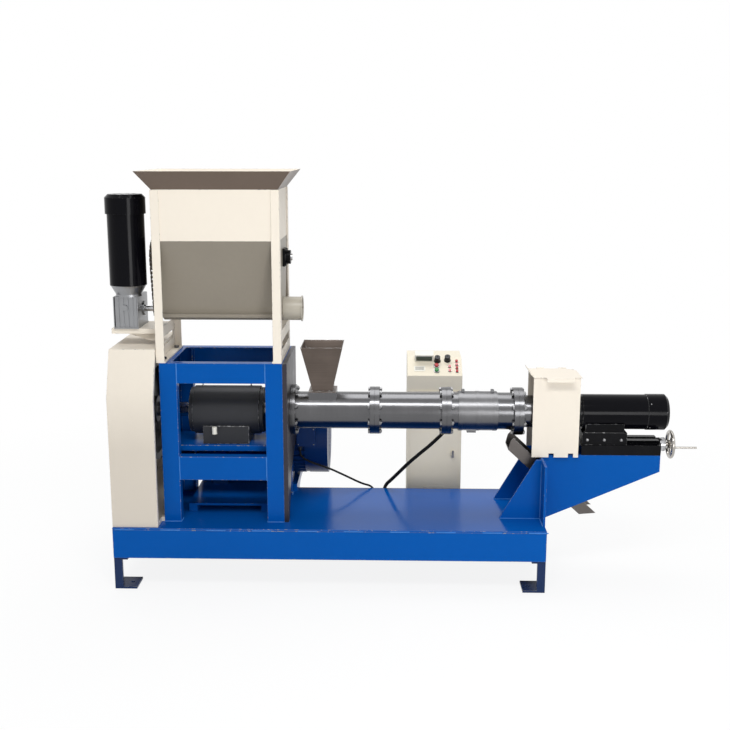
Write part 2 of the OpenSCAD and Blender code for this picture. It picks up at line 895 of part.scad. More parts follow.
// Band round the die section, with its clamp and a terminal box at the back
module heater_band() {
  ear = 12;
  ear_t = 5;
  color("silver") {
    along_x(heater_x0, heater_x1) difference() {
      disc(heater_r, shaft_at);
      disc(barrel_r + run_gap, shaft_at);
      rect(span(shaft_y, ear_t / 2), [shaft_z + bore_r, shaft_z + heater_r + cut]);
    }
    for (x = [heater_x0 + ear, heater_x1 - 2 * ear], side = [-1, 1])
      translate([x, shaft_y + side * ear_t - ear_t / 2, shaft_z + barrel_r + sink]) cube([ear, ear_t, ear]);
    difference() {
      box([heater_port[0], heater_port[0] + heater_box[0]],
        span(heater_port[1] - near, heater_box[1] / 2), span(heater_port[2], heater_box[2] / 2));
      along_x(heater_x0 - cut, heater_x1) disc(heater_r - heater_t / 2, shaft_at);
    }
  }
}

// Sloping walls round a square outlet, over a straight neck and a flange on the barrel's pad
module funnel_body(grow, over) {
  low = funnel_low_w / 2 + grow;
  top_x = span(funnel_cx, funnel_top_w / 2 + grow);
  top_y = span(shaft_y, funnel_top_d / 2 + grow);
  top = funnel_z0 + funnel_h;
  flared(span(funnel_cx, low), span(shaft_y, low), top_x, top_y, [pad_z, funnel_z0, top], over);
}
module feed_funnel() {
  color("rosybrown") difference() {
    union() {
      funnel_body(0, 0);
      box(span(funnel_cx, pad_half), span(shaft_y, pad_half), [pad_z, pad_z + funnel_flange_t]);
    }
    funnel_body(-funnel_sheet, cut);
  }
}

// Sheet cover over both pulleys, open towards the tower, with a lip and two tabs at the posts
module belt_guard() {
  inside = drawn_in(guard_outline, guard_sheet);
  color("antiquewhite") difference() {
    along_x(guard_x0, guard_x1) polygon(guard_outline);
    along_x(guard_x0 + guard_sheet, guard_x1 - guard_sheet) polygon(inside);
    past_x(guard_x1 - guard_sheet, guard_x1) polygon(drawn_in(guard_outline, guard_lip));
  }
  color("antiquewhite") for (y = [tower_y0, tower_y1 - post_depth])
    box([guard_x1 - guard_sheet, tower_x0], [y, y + post_depth], [deck_z, deck_z + guard_lip]);
}

// Round both pulleys at a given distance from their rims
module belt_path(grow) {
  a = large_r + grow;
  b = small_r + grow;
  line = motor_at - shaft_at;
  heading = atan2(line[1], line[0]);
  lean = acos((a - b) / norm(line));
  ends = [for (turn = [heading + lean, heading - lean]) [cos(turn), sin(turn)]];
  disc(a, shaft_at);
  disc(b, motor_at);
  polygon([shaft_at + a * ends[0], motor_at + b * ends[0], motor_at + b * ends[1], shaft_at + a * ends[1]]);
}
module drive_belts() {
  color("black") for (i = [0 : belt_count - 1])
    along_x(belt_x0 + i * belt_pitch, belt_x0 + i * belt_pitch + belt_w) difference() {
      belt_path(0);
      belt_path(-belt_h);
    }
}
module pulley(at, r, bore_r) {
  web_t = 22;
  rim_wall = 12;
  rim_t = groove_depth + rim_wall;
  hub = bore_r + web_t;
  hollow = r - rim_t - hub;
  difference() {
    along_x(pulley_x0, pulley_x1) disc(r - pass_gap, at);
    past_x(pulley_x0, pulley_x1) disc(bore_r + run_gap, at);
    for (i = [0 : belt_count - 1]) {
      x = belt_x0 + i * belt_pitch;
      along_x(x - pass_gap, x + belt_w + pass_gap) difference() {
        disc(r + cut, at);
        disc(r - groove_depth, at);
      }
    }
    if (hollow > web_t)
      for (x = [[pulley_x0 - cut, (pulley_x0 + pulley_x1 - web_t) / 2],
          [(pulley_x0 + pulley_x1 + web_t) / 2, pulley_x1 + cut]])
        along_x(x[0], x[1]) difference() {
          disc(r - rim_t, at);
          disc(hub, at);
        }
  }
}
module large_pulley() {
  color("dimgray") pulley(shaft_at, large_r, shaft_r);
}
module small_pulley() {
  color("dimgray") pulley(motor_at, small_r, motor_shaft_r);
}

// Finned frame, end bells, feet, fan cover and terminal box
module motor_housing() {
  core_r = motor_r - fin_h;
  foot_low = motor_z - motor_centre_h;
  foot_border = 16;
  foot_edge = motor_foot_half + foot_border;
  foot_wall = 2 * near;
  slot_w = 6;
  slots = 7;
  slot_step_share = 2.4;
  slot_l_share = 1.1;
  color("mediumblue") {
    difference() {
      union() {
        along_x(frame_x0, frame_x1) disc(core_r, motor_at);
        along_x(frame_x0, frame_x1) for (i = [0 : fin_count - 1])
          translate(motor_at) rotate(360 * i / fin_count)
            translate([core_r - fin_h, -fin_t / 2]) square([2 * fin_h, fin_t]);
        for (x = motor_foot_x, side = [-1, 1])
          box(span(x, motor_foot_w / 2),
            span(motor_y + side * (foot_edge + core_r / 2) / 2, (foot_edge - core_r / 2) / 2),
            [foot_low, foot_low + foot_pad_t]);
        for (x = motor_foot_x, side = [-1, 1])
          box(span(x, motor_foot_w / 2),
            span(motor_y + side * (core_r * 3 / 4 - foot_wall), core_r / 4 - foot_wall / 2),
            [foot_low, motor_z - core_r / 2]);
      }
      past_x(frame_x0, frame_x1) disc(stator_r, motor_at);
    }
    for (x = [motor_x0, frame_x1 - sink]) along_x(x, x + bell_l + sink) difference() {
      disc(motor_r - fan_cover_t + sink, motor_at);
      disc(motor_shaft_r + run_gap, motor_at);
    }
    difference() {
      along_x(motor_x1 - near, cover_x1) disc(motor_r, motor_at);
      along_x(motor_x1 - near - cut, cover_x1 - fan_cover_t) disc(motor_r - fan_cover_t, motor_at);
      past_x(cover_x1 - fan_cover_t, cover_x1) for (i = [-slots : slots])
        translate(motor_at + [0, slot_step_share * slot_w * i])
          square([slot_l_share * fan_r, slot_w], center = true);
    }
    box([terminal_x, terminal_x + terminal_l], [terminal_y, motor_y - core_r + near],
      [terminal_z, terminal_z + terminal_h]);
  }
}
module motor_rotor() {
  fan_gap = 16;
  fan_hub_wall = 14;
  fan_x0 = motor_x1 + rotor_gap;
  fan_x1 = cover_x1 - fan_gap;
  fan_blades = 7;
  fan_blade_t = 4;
  fan_hub_r = motor_shaft_r + fan_hub_wall;
  color("gray") {
    along_x(shaft_end_x + near, fan_x1) disc(motor_shaft_r, motor_at);
    along_x(frame_x0 + rotor_gap, frame_x1 - rotor_gap) disc(rotor_r, motor_at);
    along_x(fan_x0, fan_x1) {
      disc(fan_hub_r, motor_at);
      for (i = [0 : fan_blades - 1]) translate(motor_at) rotate(360 * i / fan_blades)
        translate([0, -fan_blade_t / 2]) square([fan_r, fan_blade_t]);
    }
  }
}
// Plate on bars across the deck, carried behind the base by two gusset brackets
module motor_mount() {
  plate = [mount_z - mount_plate_t, mount_z];
  bars = [deck_z, mount_z - mount_plate_t];
  foot_bolt_d = 14;
  color("royalblue") {
    difference() {
      union() {
        box([mount_x0, mount_x1], [mount_y0, mount_wide_y0], plate);
        box([mount_x0, mount_wide_x1], [mount_wide_y0, mount_y1], plate);
      }
      for (x = motor_foot_x, side = [-1, 1])
        translate([x, motor_y + side * motor_foot_half, plate[0] - cut])
          cylinder(d = foot_bolt_d, h = mount_plate_t + 2 * cut);
    }
    box([mount_x0, mount_x0 + mount_bar_w], [mount_y0, mount_y1], bars);
    box([mount_x1 - mount_bar_w, mount_x1], [mount_y0, mount_wide_y0], bars);
    box([mount_wide_x1 - mount_bar_w, mount_wide_x1], [mount_wide_y0, mount_y1], bars);
    for (x = [mount_x0 + mount_bar_w / 2, mount_wide_x1 - mount_bar_w / 2])
      along_x(x - outrigger_t / 2, x + outrigger_t / 2)
        polygon([[base_y1, deck_z], [mount_y1, deck_z], [mount_y1, deck_z - mount_rise],
          [base_y1, deck_z - outrigger_drop]]);
  }
}

// Upright walls and the flared rim of the hopper
module hopper_walls(grow, over) {
  x = span((shell_x0 + shell_x1) / 2, (shell_x1 - shell_x0) / 2 + grow);
  y = span(hopper_yc, (shell_y1 - shell_y0) / 2 + grow);
  rim = [-flare_out, flare_out];
  top = hopper_z1 + flare_h;
  flared(x, y, x + rim, y + rim, [cone_z1, hopper_z1, top], over);
}
module hopper_shell() {
  color("antiquewhite") difference() {
    hopper_walls(0, 0);
    hopper_walls(-hopper_sheet, cut);
  }
}
// Walls that slope in to the trough, with upright ends and a bolting flange
module hopper_cone() {
  slope = [[shell_y0, cone_z1], [hopper_yc - trough_out_r, cone_start_z],
    [hopper_yc + trough_out_r, cone_start_z], [shell_y1, cone_z1]];
  inner = [[shell_y0 + hopper_sheet, cone_z1 + cut], [shell_y0 + hopper_sheet, cone_z1],
    [hopper_yc - trough_r, cone_start_z], [hopper_yc + trough_r, cone_start_z],
    [shell_y1 - hopper_sheet, cone_z1], [shell_y1 - hopper_sheet, cone_z1 + cut]];
  color("gray") difference() {
    union() {
      along_x(shell_x0, shell_x1) {
        polygon(slope);
        rect(span(hopper_yc, trough_out_r), [trough_split_z, cone_start_z]);
      }
      box([shell_x0, shell_x1], span(hopper_yc, trough_flange_half),
        [trough_split_z, trough_split_z + trough_flange_t]);
      along_x(shell_x1, tube_x1) disc(trough_out_r, auger_at);
      along_x(tube_x1 - 2 * hopper_sheet, tube_x1) disc(trough_out_r + 2 * hopper_sheet, auger_at);
    }
    along_x(shell_x0 + hopper_sheet, shell_x1 - hopper_sheet) {
      polygon(inner);
      disc(trough_r, auger_at);
      rect(span(hopper_yc, trough_r), [auger_z, cone_start_z + cut]);
    }
    past_x(shell_x1 - hopper_sheet, tube_x1) disc(trough_r, auger_at);
    past_x(shell_x0, shell_x0 + hopper_sheet) disc(auger_shaft_r + seal_gap, auger_at);
    past_x(shell_x0, shell_x1) disc(auger_shaft_r + seal_gap, agitator_at);
  }
}
module feed_trough() {
  color("gray") difference() {
    union() {
      along_x(shell_x0, shell_x1) intersection() {
        disc(trough_out_r, auger_at);
        rect(span(hopper_yc, trough_out_r), [auger_z - trough_out_r, trough_split_z]);
      }
      box([shell_x0, shell_x1], span(hopper_yc, trough_flange_half),
        [trough_split_z - trough_flange_t, trough_split_z]);
    }
    along_x(shell_x0 + hopper_sheet, shell_x1 + cut) disc(trough_r, auger_at);
  }
}
// Angle leg at the left front corner, with a foot plate along the tower's side
module corner_leg() {
  z = [tower_z1, hopper_z1];
  box([hopper_x0, hopper_x0 + leg_w], [hopper_y0, hopper_y0 + leg_t], z);
  box([hopper_x0, hopper_x0 + leg_t], [hopper_y0, hopper_y0 + leg_w], z);
}
module hopper_frame() {
  mid_x = hopper_x0 + hopper_x1;
  mid_y = 2 * hopper_yc;
  color("antiquewhite") for (side = [0, 1]) translate([side * mid_x, 0, 0]) mirror([side, 0, 0]) {
    corner_leg();
    translate([0, mid_y, 0]) mirror([0, 1, 0]) corner_leg();
    box([hopper_x0, hopper_x0 + leg_foot_w], [hopper_y0, hopper_y1], [tower_z1, tower_z1 + leg_foot_t]);
    box([hopper_x0, hopper_x0 + leg_t], [hopper_y0, hopper_y1], [tower_z1, tower_z1 + brace_h]);
    box([hopper_x0, hopper_x0 + leg_t], [hopper_y0, hopper_y1], [shelf_z - brace_h, shelf_z]);
  }
}

// Folded shelf on the hopper's left legs, under the gearbox
module feeder_shelf() {
  gusset_t = 5;
  gusset_in = 20;
  gusset_h = 46;
  gusset_y = [shelf_y0 + gusset_in, shelf_y1 - gusset_in - gusset_t];
  low = shelf_z - gusset_h;
  color("antiquewhite") {
    box([shelf_x0, hopper_x0], [shelf_y0, shelf_y1], [shelf_z - shelf_t, shelf_z]);
    box([shelf_x0, hopper_x0], [shelf_y0, shelf_y0 + shelf_t], [shelf_z - shelf_lip, shelf_z]);
    box([shelf_x0, shelf_x0 + shelf_t], [shelf_y0, shelf_y1], [shelf_z - shelf_lip, shelf_z]);
    for (y = gusset_y) along_y(y, y + gusset_t)
      polygon([[shelf_x0 + shelf_t, shelf_z - shelf_t + sink], [hopper_x0, shelf_z - shelf_t + sink],
        [hopper_x0, low], [hopper_x0 - brace_h, low]]);
  }
}
// Ribbed worm gearbox: a square body round the wheel, a boss for the worm and an upright flange
module feeder_gearbox() {
  rib_t = 3;
  rib_out = 5;
  top = shelf_z + 2 * gearbox_rise;
  body_front = 36;
  body_y0 = feeder_y - body_front;
  body_y1 = hopper_yc + gearbox_wheel_r;
  ribs = 6;
  rib_step = (gearbox_w - rib_t) / (ribs - 1);
  sight_r = 10;
  sight_in = 8;
  sight_up = 14;
  boss_wall = 14;
  neck_r = gearbox_w / 2 + neck_over;
  flange_t = 9;
  color("gainsboro") difference() {
    union() {
      box([gearbox_x0 + rib_out, gearbox_x1 - rib_out], [body_y0 + rib_out, body_y1],
        [shelf_z, top - flange_t]);
      for (i = [0 : ribs - 1])
        box([gearbox_x0 + i * rib_step, gearbox_x0 + i * rib_step + rib_t], [body_y0, body_y1 - rib_out],
          [shelf_z + rib_out, top - flange_t]);
      box([gearbox_x0, gearbox_x1], [body_y0, body_y1], [shelf_z, shelf_z + rib_out]);
      translate([gearbox_cx, feeder_y, top - flange_t]) cylinder(r = neck_r, h = flange_t);
      along_y(body_y0 - rib_out, body_y0 + 2 * rib_out)
        disc(sight_r, [gearbox_cx - sight_in, auger_z + sight_up]);
      along_x(gearbox_x0 - rib_out, gearbox_x1 + rib_out) disc(auger_shaft_r + boss_wall, auger_at);
    }
    past_x(gearbox_x0 - rib_out, gearbox_x1 + rib_out) disc(auger_shaft_r + run_gap, auger_at);
  }
}
// Upright motor: bell, body and fan cover turned about one axis
module feeder_motor() {
  neck_r = gearbox_w / 2 + neck_over;
  chamfer = 12;
  edge = 4;
  vent_d = 16;
  vent_depth = 5;
  vents = 8;
  lead_box = [52, 24, 66];
  lead_box_up = 120;
  top = feeder_z1 + feeder_cover_l;
  z0 = feeder_z0 - feeder_bell_h;
  vent_share = 0.55;
  vent_r = feeder_r * vent_share;
  color("black") translate([gearbox_cx, feeder_y, 0]) {
    difference() {
      rotate_extrude() polygon([[0, z0], [neck_r, z0], [feeder_r - edge, feeder_z0],
        [feeder_r, feeder_z0 + edge],
        [feeder_r, feeder_z1], [feeder_cover_r, feeder_z1], [feeder_cover_r, top - chamfer],
        [feeder_cover_r - chamfer, top], [0, top]]);
      for (i = [0 : vents - 1]) rotate(360 * i / vents) translate([vent_r, 0, top - vent_depth])
        cylinder(d = vent_d, h = vent_depth + cut);
    }
    translate([-lead_box[0] / 2, feeder_r - lead_box[1] / 2, feeder_z0 + lead_box_up]) cube(lead_box);
  }
}

module flange_bearing(x, boss, at, side) {
  half = bearing_plate / 2;
  x0 = side > 0 ? x : x - bearing_plate_t;
  b0 = side > 0 ? x : x - boss;
  difference() {
    union() {
      along_x(x0, x0 + bearing_plate_t)
        rect(span(at[0], half), span(at[1], half));
      along_x(b0, b0 + boss) disc(bearing_boss_r, at);
    }
    past_x(x - boss, x + boss) disc(auger_shaft_r + run_gap, at);
    for (a = [-1, 1], b = [-1, 1]) past_x(x0, x0 + bearing_plate_t)
      disc(bearing_bolt_r + bolt_gap, at + bearing_bolt_in * [a, b]);
  }
  head_x = side > 0 ? x + bearing_plate_t : x0 - bearing_head_h;
  for (a = [-1, 1], b = [-1, 1])
    translate([head_x, at[0] + bearing_bolt_in * a, at[1] + bearing_bolt_in * b]) rotate([0, 90, 0])
    cylinder(r = 2 * bearing_bolt_r * head_r_share, h = bearing_head_h, $fn = 6);
}
module flange_bearings() {
  color("black") {
    flange_bearing(shell_x1, right_boss, agitator_at, 1);
    flange_bearing(shell_x0, left_boss, agitator_at, -1);
    flange_bearing(shell_x0, left_boss, auger_at, -1);
  }
}

// Points of the chain's pitch line: round the lower sprocket, up, round the upper sprocket, down
chain_lean = asin((agitator_pitch_r - auger_pitch_r) / chain_centre);
chain_run = sqrt(pow(chain_centre, 2) - pow(agitator_pitch_r - auger_pitch_r, 2)) / chain_pitch;
low_arc = (180 - 2 * chain_lean) * auger_teeth / 360;
high_arc = (180 + 2 * chain_lean) * agitator_teeth / 360;
function toward(turn) = [cos(turn), sin(turn)];
function chain_point(s) =
  s < high_arc ? agitator_at + agitator_pitch_r * toward(-chain_lean + 360 * s / agitator_teeth)
  : s < high_arc + chain_run ? agitator_at + agitator_pitch_r * toward(180 + chain_lean)
    + (s - high_arc) / chain_run * (auger_at - agitator_at
      + (auger_pitch_r - agitator_pitch_r) * toward(180 + chain_lean))
  : s < high_arc + chain_run + low_arc
    ? auger_at + auger_pitch_r * toward(180 + chain_lean + 360 * (s - high_arc - chain_run) / auger_teeth)
  : auger_at + auger_pitch_r * toward(-chain_lean)
    + (s - high_arc - chain_run - low_arc) / chain_run * (agitator_at - auger_at
      + (agitator_pitch_r - auger_pitch_r) * toward(-chain_lean));
chain_length = high_arc + low_arc + 2 * chain_run;
chain_step = chain_length / chain_links;
module drive_chain() {
  pins = [for (i = [0 : chain_links - 1]) chain_point(i * chain_step)];
  outer = chain_inner_w / 2 + 2 * chain_plate_t;
  waist_share = 0.8;
  color("dimgray") {
    for (p = pins) along_x(chain_x - outer, chain_x + outer) disc(chain_roller_r / 2, p);
    for (p = pins) along_x(chain_x - chain_inner_w / 2, chain_x + chain_inner_w / 2) disc(chain_roller_r, p);
    for (i = [0 : chain_links - 1]) {
      a = pins[i];
      b = pins[(i + 1) % chain_links];
      step = chain_inner_w / 2 + (i % 2) * chain_plate_t;
      turn = atan2((b - a)[1], (b - a)[0]);
      for (x = [chain_x - step - chain_plate_t, chain_x + step]) along_x(x, x + chain_plate_t) {
        disc(chain_plate_r, a);
        disc(chain_plate_r, b);
        translate(a) rotate(turn) translate([0, -waist_share * chain_plate_r])
          square([norm(b - a), 2 * waist_share * chain_plate_r]);
      }
    }
  }
}
// Toothed wheel whose tooth gaps face the chain's rollers; first is the angle of one roller
module sprocket(teeth, pitch_r, at, first) {
  root_r = pitch_r - chain_roller_r - tooth_gap;
  tip_r = pitch_r + tooth_out;
  half_gap = asin((chain_roller_r + tooth_gap) / pitch_r);
  half_root = 180 / teeth - half_gap;
  tip_share = 0.42;
  half_tip = half_root * tip_share;
  inner_r = root_r - sink;
  along_x(chain_x - sprocket_t / 2, chain_x + sprocket_t / 2) difference() {
    union() {
      disc(root_r, at);
      for (i = [0 : teeth - 1]) {
        turn = first + 360 * (i + 0.5) / teeth;
        polygon([for (p = [[inner_r, -half_root], [pitch_r, -half_root], [tip_r, -half_tip],
            [tip_r, half_tip], [pitch_r, half_root], [inner_r, half_root]])
          at + p[0] * toward(turn + p[1])]);
      }
    }
    disc(auger_shaft_r + run_gap, at);
  }
}
function first_roller(from) = ceil(from / chain_step - 0.001) * chain_step;
module auger_sprocket() {
  s = first_roller(high_arc + chain_run);
  first = 180 + chain_lean + 360 * (s - high_arc - chain_run) / auger_teeth;
  color("gray") sprocket(auger_teeth, auger_pitch_r, auger_at, first);
}
module agitator_sprocket() {
  color("gray") sprocket(agitator_teeth, agitator_pitch_r, agitator_at, -chain_lean);
}

// Screw section: a round core with one thread, twisted along its length
module flights(length, lead, core_r, out_r, half_turn, steps) {
  core_points = 7;
  thread_points = 3;
  ramp = 12;
  outline = concat(
    [for (i = [-thread_points : thread_points]) out_r * toward(half_turn * i / thread_points)],
    [for (i = [0 : core_points]) core_r * toward(half_turn + ramp
      + (360 - 2 * half_turn - 2 * ramp) * i / core_points)]);
  rotate([90, 0, 90])
    linear_extrude(length, twist = -360 * length / lead, slices = ceil(steps * length / lead),
      $fn = len(outline))
      polygon(outline);
}
module feed_auger() {
  color("lightslategray") {
    along_x(gearbox_x0 - near, auger_x0) disc(auger_shaft_r, auger_at);
    translate([auger_x0, auger_at[0], auger_at[1]])
      flights(auger_x1 - auger_x0, auger_lead, auger_core_r, auger_r, half_turn = 20, steps = 10);
  }
}
module agitator() {
  paddles = 6;
  paddle_w = 24;
  paddle_t = 6;
  paddle_in = 50;
  step = (shell_x1 - shell_x0 - 2 * paddle_in - paddle_w) / (paddles - 1);
  color("lightslategray") {
    along_x(chain_x - 2 * sprocket_t, shell_x1 + right_boss + near) disc(auger_shaft_r, agitator_at);
    for (i = [0 : paddles - 1]) {
      x = shell_x0 + paddle_in + i * step;
      along_x(x, x + paddle_w) translate(agitator_at) rotate(90 * i + 15)
        translate([0, -paddle_t / 2]) square([paddle_r, paddle_t]);
    }
  }
}

module main_shaft() {
  collar = [14, 12];
  step_x = housing_x1 + cover_t + near;
  color("silver") {
    along_x(shaft_end_x, screw_x0) disc(shaft_r, shaft_at);
    along_x(step_x, step_x + collar[0]) disc(shaft_r + collar[1], shaft_at);
  }
}
// Three screw sections with round steam locks between them and a blunt nose
module extruder_screw() {
  lead_step = 6;
  lock_in = 2;
  tip_share = 0.4;
  part_l = (screw_x1 - screw_nose_l - screw_x0 - 2 * lock_l) / 3;
  color("silver") {
    for (i = [0 : 2]) translate([screw_x0 + i * (part_l + lock_l), shaft_y, shaft_z])
      flights(part_l, screw_lead - lead_step * i, screw_core_d / 2, screw_r, half_turn = 26, steps = 10);
    for (i = [1, 2]) {
      x = screw_x0 + i * part_l + (i - 1) * lock_l;
      along_x(x, x + lock_l) disc(screw_r - lock_in, shaft_at);
    }
    translate([screw_x1 - screw_nose_l, shaft_y, shaft_z]) rotate([0, 90, 0])
      cylinder(d1 = screw_core_d, d2 = tip_share * screw_core_d, h = screw_nose_l);
  }
}

// End plate with ribs on the deck, and the arm that carries the slide
module support_bracket() {
  rib_top = 20;
  slot_extra = 30;
  rib_x1 = base_x1 - arm_t + sink;
  top = arm_z - end_plate_in;
  rib = [[base_x1 - arm_t - rib_l, deck_z], [rib_x1, deck_z], [rib_x1, top],
    [base_x1 - arm_t - rib_top, top]];
  arm = [[base_x1, arm_low_z], [base_x1, deck_z], [base_x1 - sink, deck_z], [base_x1 - sink, arm_z],
    [arm_x1, arm_z], [arm_x1, arm_z - arm_end_h]];
  color("royalblue") {
    difference() {
      union() {
        box([base_x1 - arm_t, base_x1], span(shaft_y, end_plate_w / 2),
          [deck_z, top]);
        for (y = [rib_y0, rib_y1 - arm_t]) along_y(y, y + arm_t) polygon(rib);
      }
      box([base_x1 - arm_t - cut, base_x1 + cut],
        span(shaft_y, chute_w / 2),
        [arm_z - chute_slot_low - chute_h - slot_extra, arm_z + cut]);
      box([base_x1 - arm_t - cut, base_x1 + cut], span(shaft_y, cutter_guard_d / 2 + near),
        [cg_z0 - near, arm_z + cut]);
    }
    for (y = [arm_y0, arm_y1 - arm_t]) along_y(y, y + arm_t) polygon(arm);
    between = [arm_y0 + arm_t - sink, arm_y1 - arm_t + sink];
    box([top_plate_x0, arm_x1], between, [arm_z - top_plate_t, arm_z]);
    box([arm_x1 - arm_t, arm_x1], between, [arm_z - arm_end_h, arm_z - top_plate_t + sink]);
  }
}
// Channel that slopes down under the die, through the end plate and out below the arm
module discharge_chute() {
  back = chute_nose_share * chute_h;
  side = [[0, 0], [chute_run, 0], [chute_run - chute_h * tan(chute_slope), -chute_h], [back, -chute_h],
    [0, -back]];
  color("gray") translate([chute_top[0], shaft_y - chute_w / 2, chute_top[1]]) rotate([0, chute_slope, 0]) {
    for (y = [0, chute_w - chute_t]) translate([0, y, 0]) along_y(0, chute_t) polygon(side);
    translate([back, 0, -chute_h])
      cube([chute_run - chute_h * tan(chute_slope) - back, chute_w, chute_t]);
  }
}

// Dovetail bed with its screw's slot and end cap, and the dial collar
module slide_bed() {
  cap_half = 40;
  low = bed_z1 - dovetail_h;
  color("black") {
    difference() {
      union() {
        box([bed_x0, arm_x1], [arm_y0, arm_y1], [arm_z, low]);
        along_x(bed_x0, arm_x1) polygon([[shaft_y - dovetail_half, low - sink],
          [shaft_y + dovetail_half, low - sink], [shaft_y + dovetail_half, low],
          [shaft_y + dovetail_half + dovetail_flare, bed_z1],
          [shaft_y - dovetail_half - dovetail_flare, bed_z1], [shaft_y - dovetail_half, low]]);
      }
      box([bed_x0 - cut, arm_x1 + cut], span(shaft_y, bed_slot_half),
        [lead_z - bed_slot_half, bed_z1 + cut]);
    }
    difference() {
      union() {
        box([arm_x1 - sink, arm_x1 + end_cap_t], span(shaft_y, cap_half), [arm_z, low]);
        along_x(arm_x1 + sink, arm_x1 + end_cap_t + collar_l) disc(collar_r, [shaft_y, lead_z]);
      }
      past_x(arm_x1, arm_x1 + end_cap_t + collar_l)
        disc(lead_r + run_gap, [shaft_y, lead_z]);
    }
  }
}
module slide_saddle() {
  low = bed_z1 - dovetail_h;
  grip_z = saddle_z1 - near;
  nut_in = 50;
  nut_l = 40;
  nut_neck = 8;
  foot_in = 30;
  foot_out = 52;
  top_in = 56;
  top_out = 62;
  in_down = 36;
  out_down = 32;
  color("black") {
    difference() {
      box([saddle_x0, saddle_x1], span(shaft_y, saddle_half),
        [low + pass_gap, saddle_z1]);
      past_x(saddle_x0, saddle_x1) polygon([
        [shaft_y - dovetail_half - pass_gap, low - cut], [shaft_y + dovetail_half + pass_gap, low - cut],
        [shaft_y + dovetail_half + pass_gap, low + pass_gap],
        [shaft_y + dovetail_half + dovetail_flare + pass_gap, saddle_z0],
        [shaft_y - dovetail_half - dovetail_flare - pass_gap, saddle_z0],
        [shaft_y - dovetail_half - pass_gap, low + pass_gap]]);
    }
    along_x(saddle_x0 + nut_in, saddle_x0 + nut_in + nut_l) difference() {
      union() {
        disc(nut_r, [shaft_y, lead_z]);
        rect(span(shaft_y, nut_neck), [lead_z, saddle_z0 + sink]);
      }
      disc(lead_r + pass_gap, [shaft_y, lead_z]);
    }
    for (side = [-1, 1]) along_x(saddle_x0 + 2 * near, saddle_x1 - 2 * near)
      polygon([[shaft_y + side * foot_in, grip_z], [shaft_y + side * foot_out, grip_z],
        [shaft_y + side * top_out, shaft_z - out_down], [shaft_y + side * top_in, shaft_z - in_down]]);
  }
}
module handwheel() {
  screw_in = 20;
  hub_wall = 8;
  reach = wheel_r;
  at = [shaft_y, lead_z];
  color("silver") {
    along_x(saddle_x0 + screw_in, wheel_x + wheel_hub_l / 2) disc(lead_r, at);
    along_x(wheel_x - wheel_hub_l / 2, wheel_x + wheel_hub_l / 2) disc(lead_r + hub_wall, at);
    translate([wheel_x, at[0], at[1]]) rotate([0, 90, 0]) {
      rotate_extrude() translate([wheel_r, 0]) circle(wheel_rim_r);
      for (i = [0 : spokes - 1]) rotate(90 + 360 * i / spokes) rotate([0, 90, 0])
        cylinder(r = spoke_r, h = reach);
    }
    translate([wheel_x, shaft_y - wheel_r, lead_z]) rotate([0, 90, 0])
      cylinder(r = grip_pin_r, h = wheel_rim_r + grip_l - near);
  }
}
module crank_grip() {
  x0 = wheel_x + wheel_rim_r + pass_gap;
  color("silver") along_x(x0, x0 + grip_l) difference() {
    disc(grip_r, [shaft_y - wheel_r, lead_z]);
    disc(grip_pin_r + run_gap, [shaft_y - wheel_r, lead_z]);
  }
}

module cutter_motor() {
  step = 8;
  chamfer = 10;
  box_in = 70;
  box_l = 76;
  box_out = 30;
  box_half = 28;
  color("black") {
    difference() {
      union() {
        along_x(cg_x1, cm_x0) disc(motor_flange_r, shaft_at);
        along_x(cm_x0, cm_x0 + step) disc(cutter_r - step, shaft_at);
        along_x(cm_x0 + step, cm_x1) disc(cutter_r, shaft_at);
      }
      along_x(cg_x1 - cut, cm_x0 + cutter_bore_l) disc(cutter_shaft_r + run_gap, shaft_at);
    }
    along_x(cm_x1, cm_x2 - chamfer) disc(cutter_cover_r, shaft_at);
    translate([cm_x2 - chamfer, shaft_y, shaft_z]) rotate([0, 90, 0])
      cylinder(r1 = cutter_cover_r, r2 = cutter_cover_r - chamfer, h = chamfer);
    box([cm_x0 + box_in, cm_x0 + box_in + box_l], [shaft_y + cutter_r - step, shaft_y + cutter_r + box_out],
      span(shaft_z, box_half));
  }
}
// Sheet box round the cutter, open towards the die and below
module cutter_guard() {
  t = cutter_sheet;
  color("antiquewhite") {
    box([cg_x0, cg_x1], [cg_y1 - t, cg_y1], [cg_z0, cg_z1]);
    difference() {
      box([cg_x0, cg_x1], [cg_y0, cg_y0 + t], [cg_z0, cg_z1]);
      for (x = notch_x)
        box([x, x + notch_w], [cg_y0 - cut, cg_y0 + t + cut], [cg_z0 - cut, cg_z0 + notch_h]);
    }
    along_x(cg_x1 - t, cg_x1) difference() {
      rect([cg_y0, cg_y1], [bed_z1 + near, cg_z1]);
      disc(cutter_shaft_r + near, shaft_at);
    }
    for (x = guard_hinge_x) {
      along_x(x + guard_hinge_l / 2 + pass_gap, x + guard_hinge_l) difference() {
        union() {
          disc(hinge_r, [hinge_y, hinge_z]);
          rect([cg_y1, hinge_y], [hinge_z - hinge_r, hinge_z]);
        }
        disc(hinge_pin_r, [hinge_y, hinge_z]);
      }
      along_x(x, x + guard_hinge_l) disc(hinge_pin_r, [hinge_y, hinge_z]);
    }
  }
}
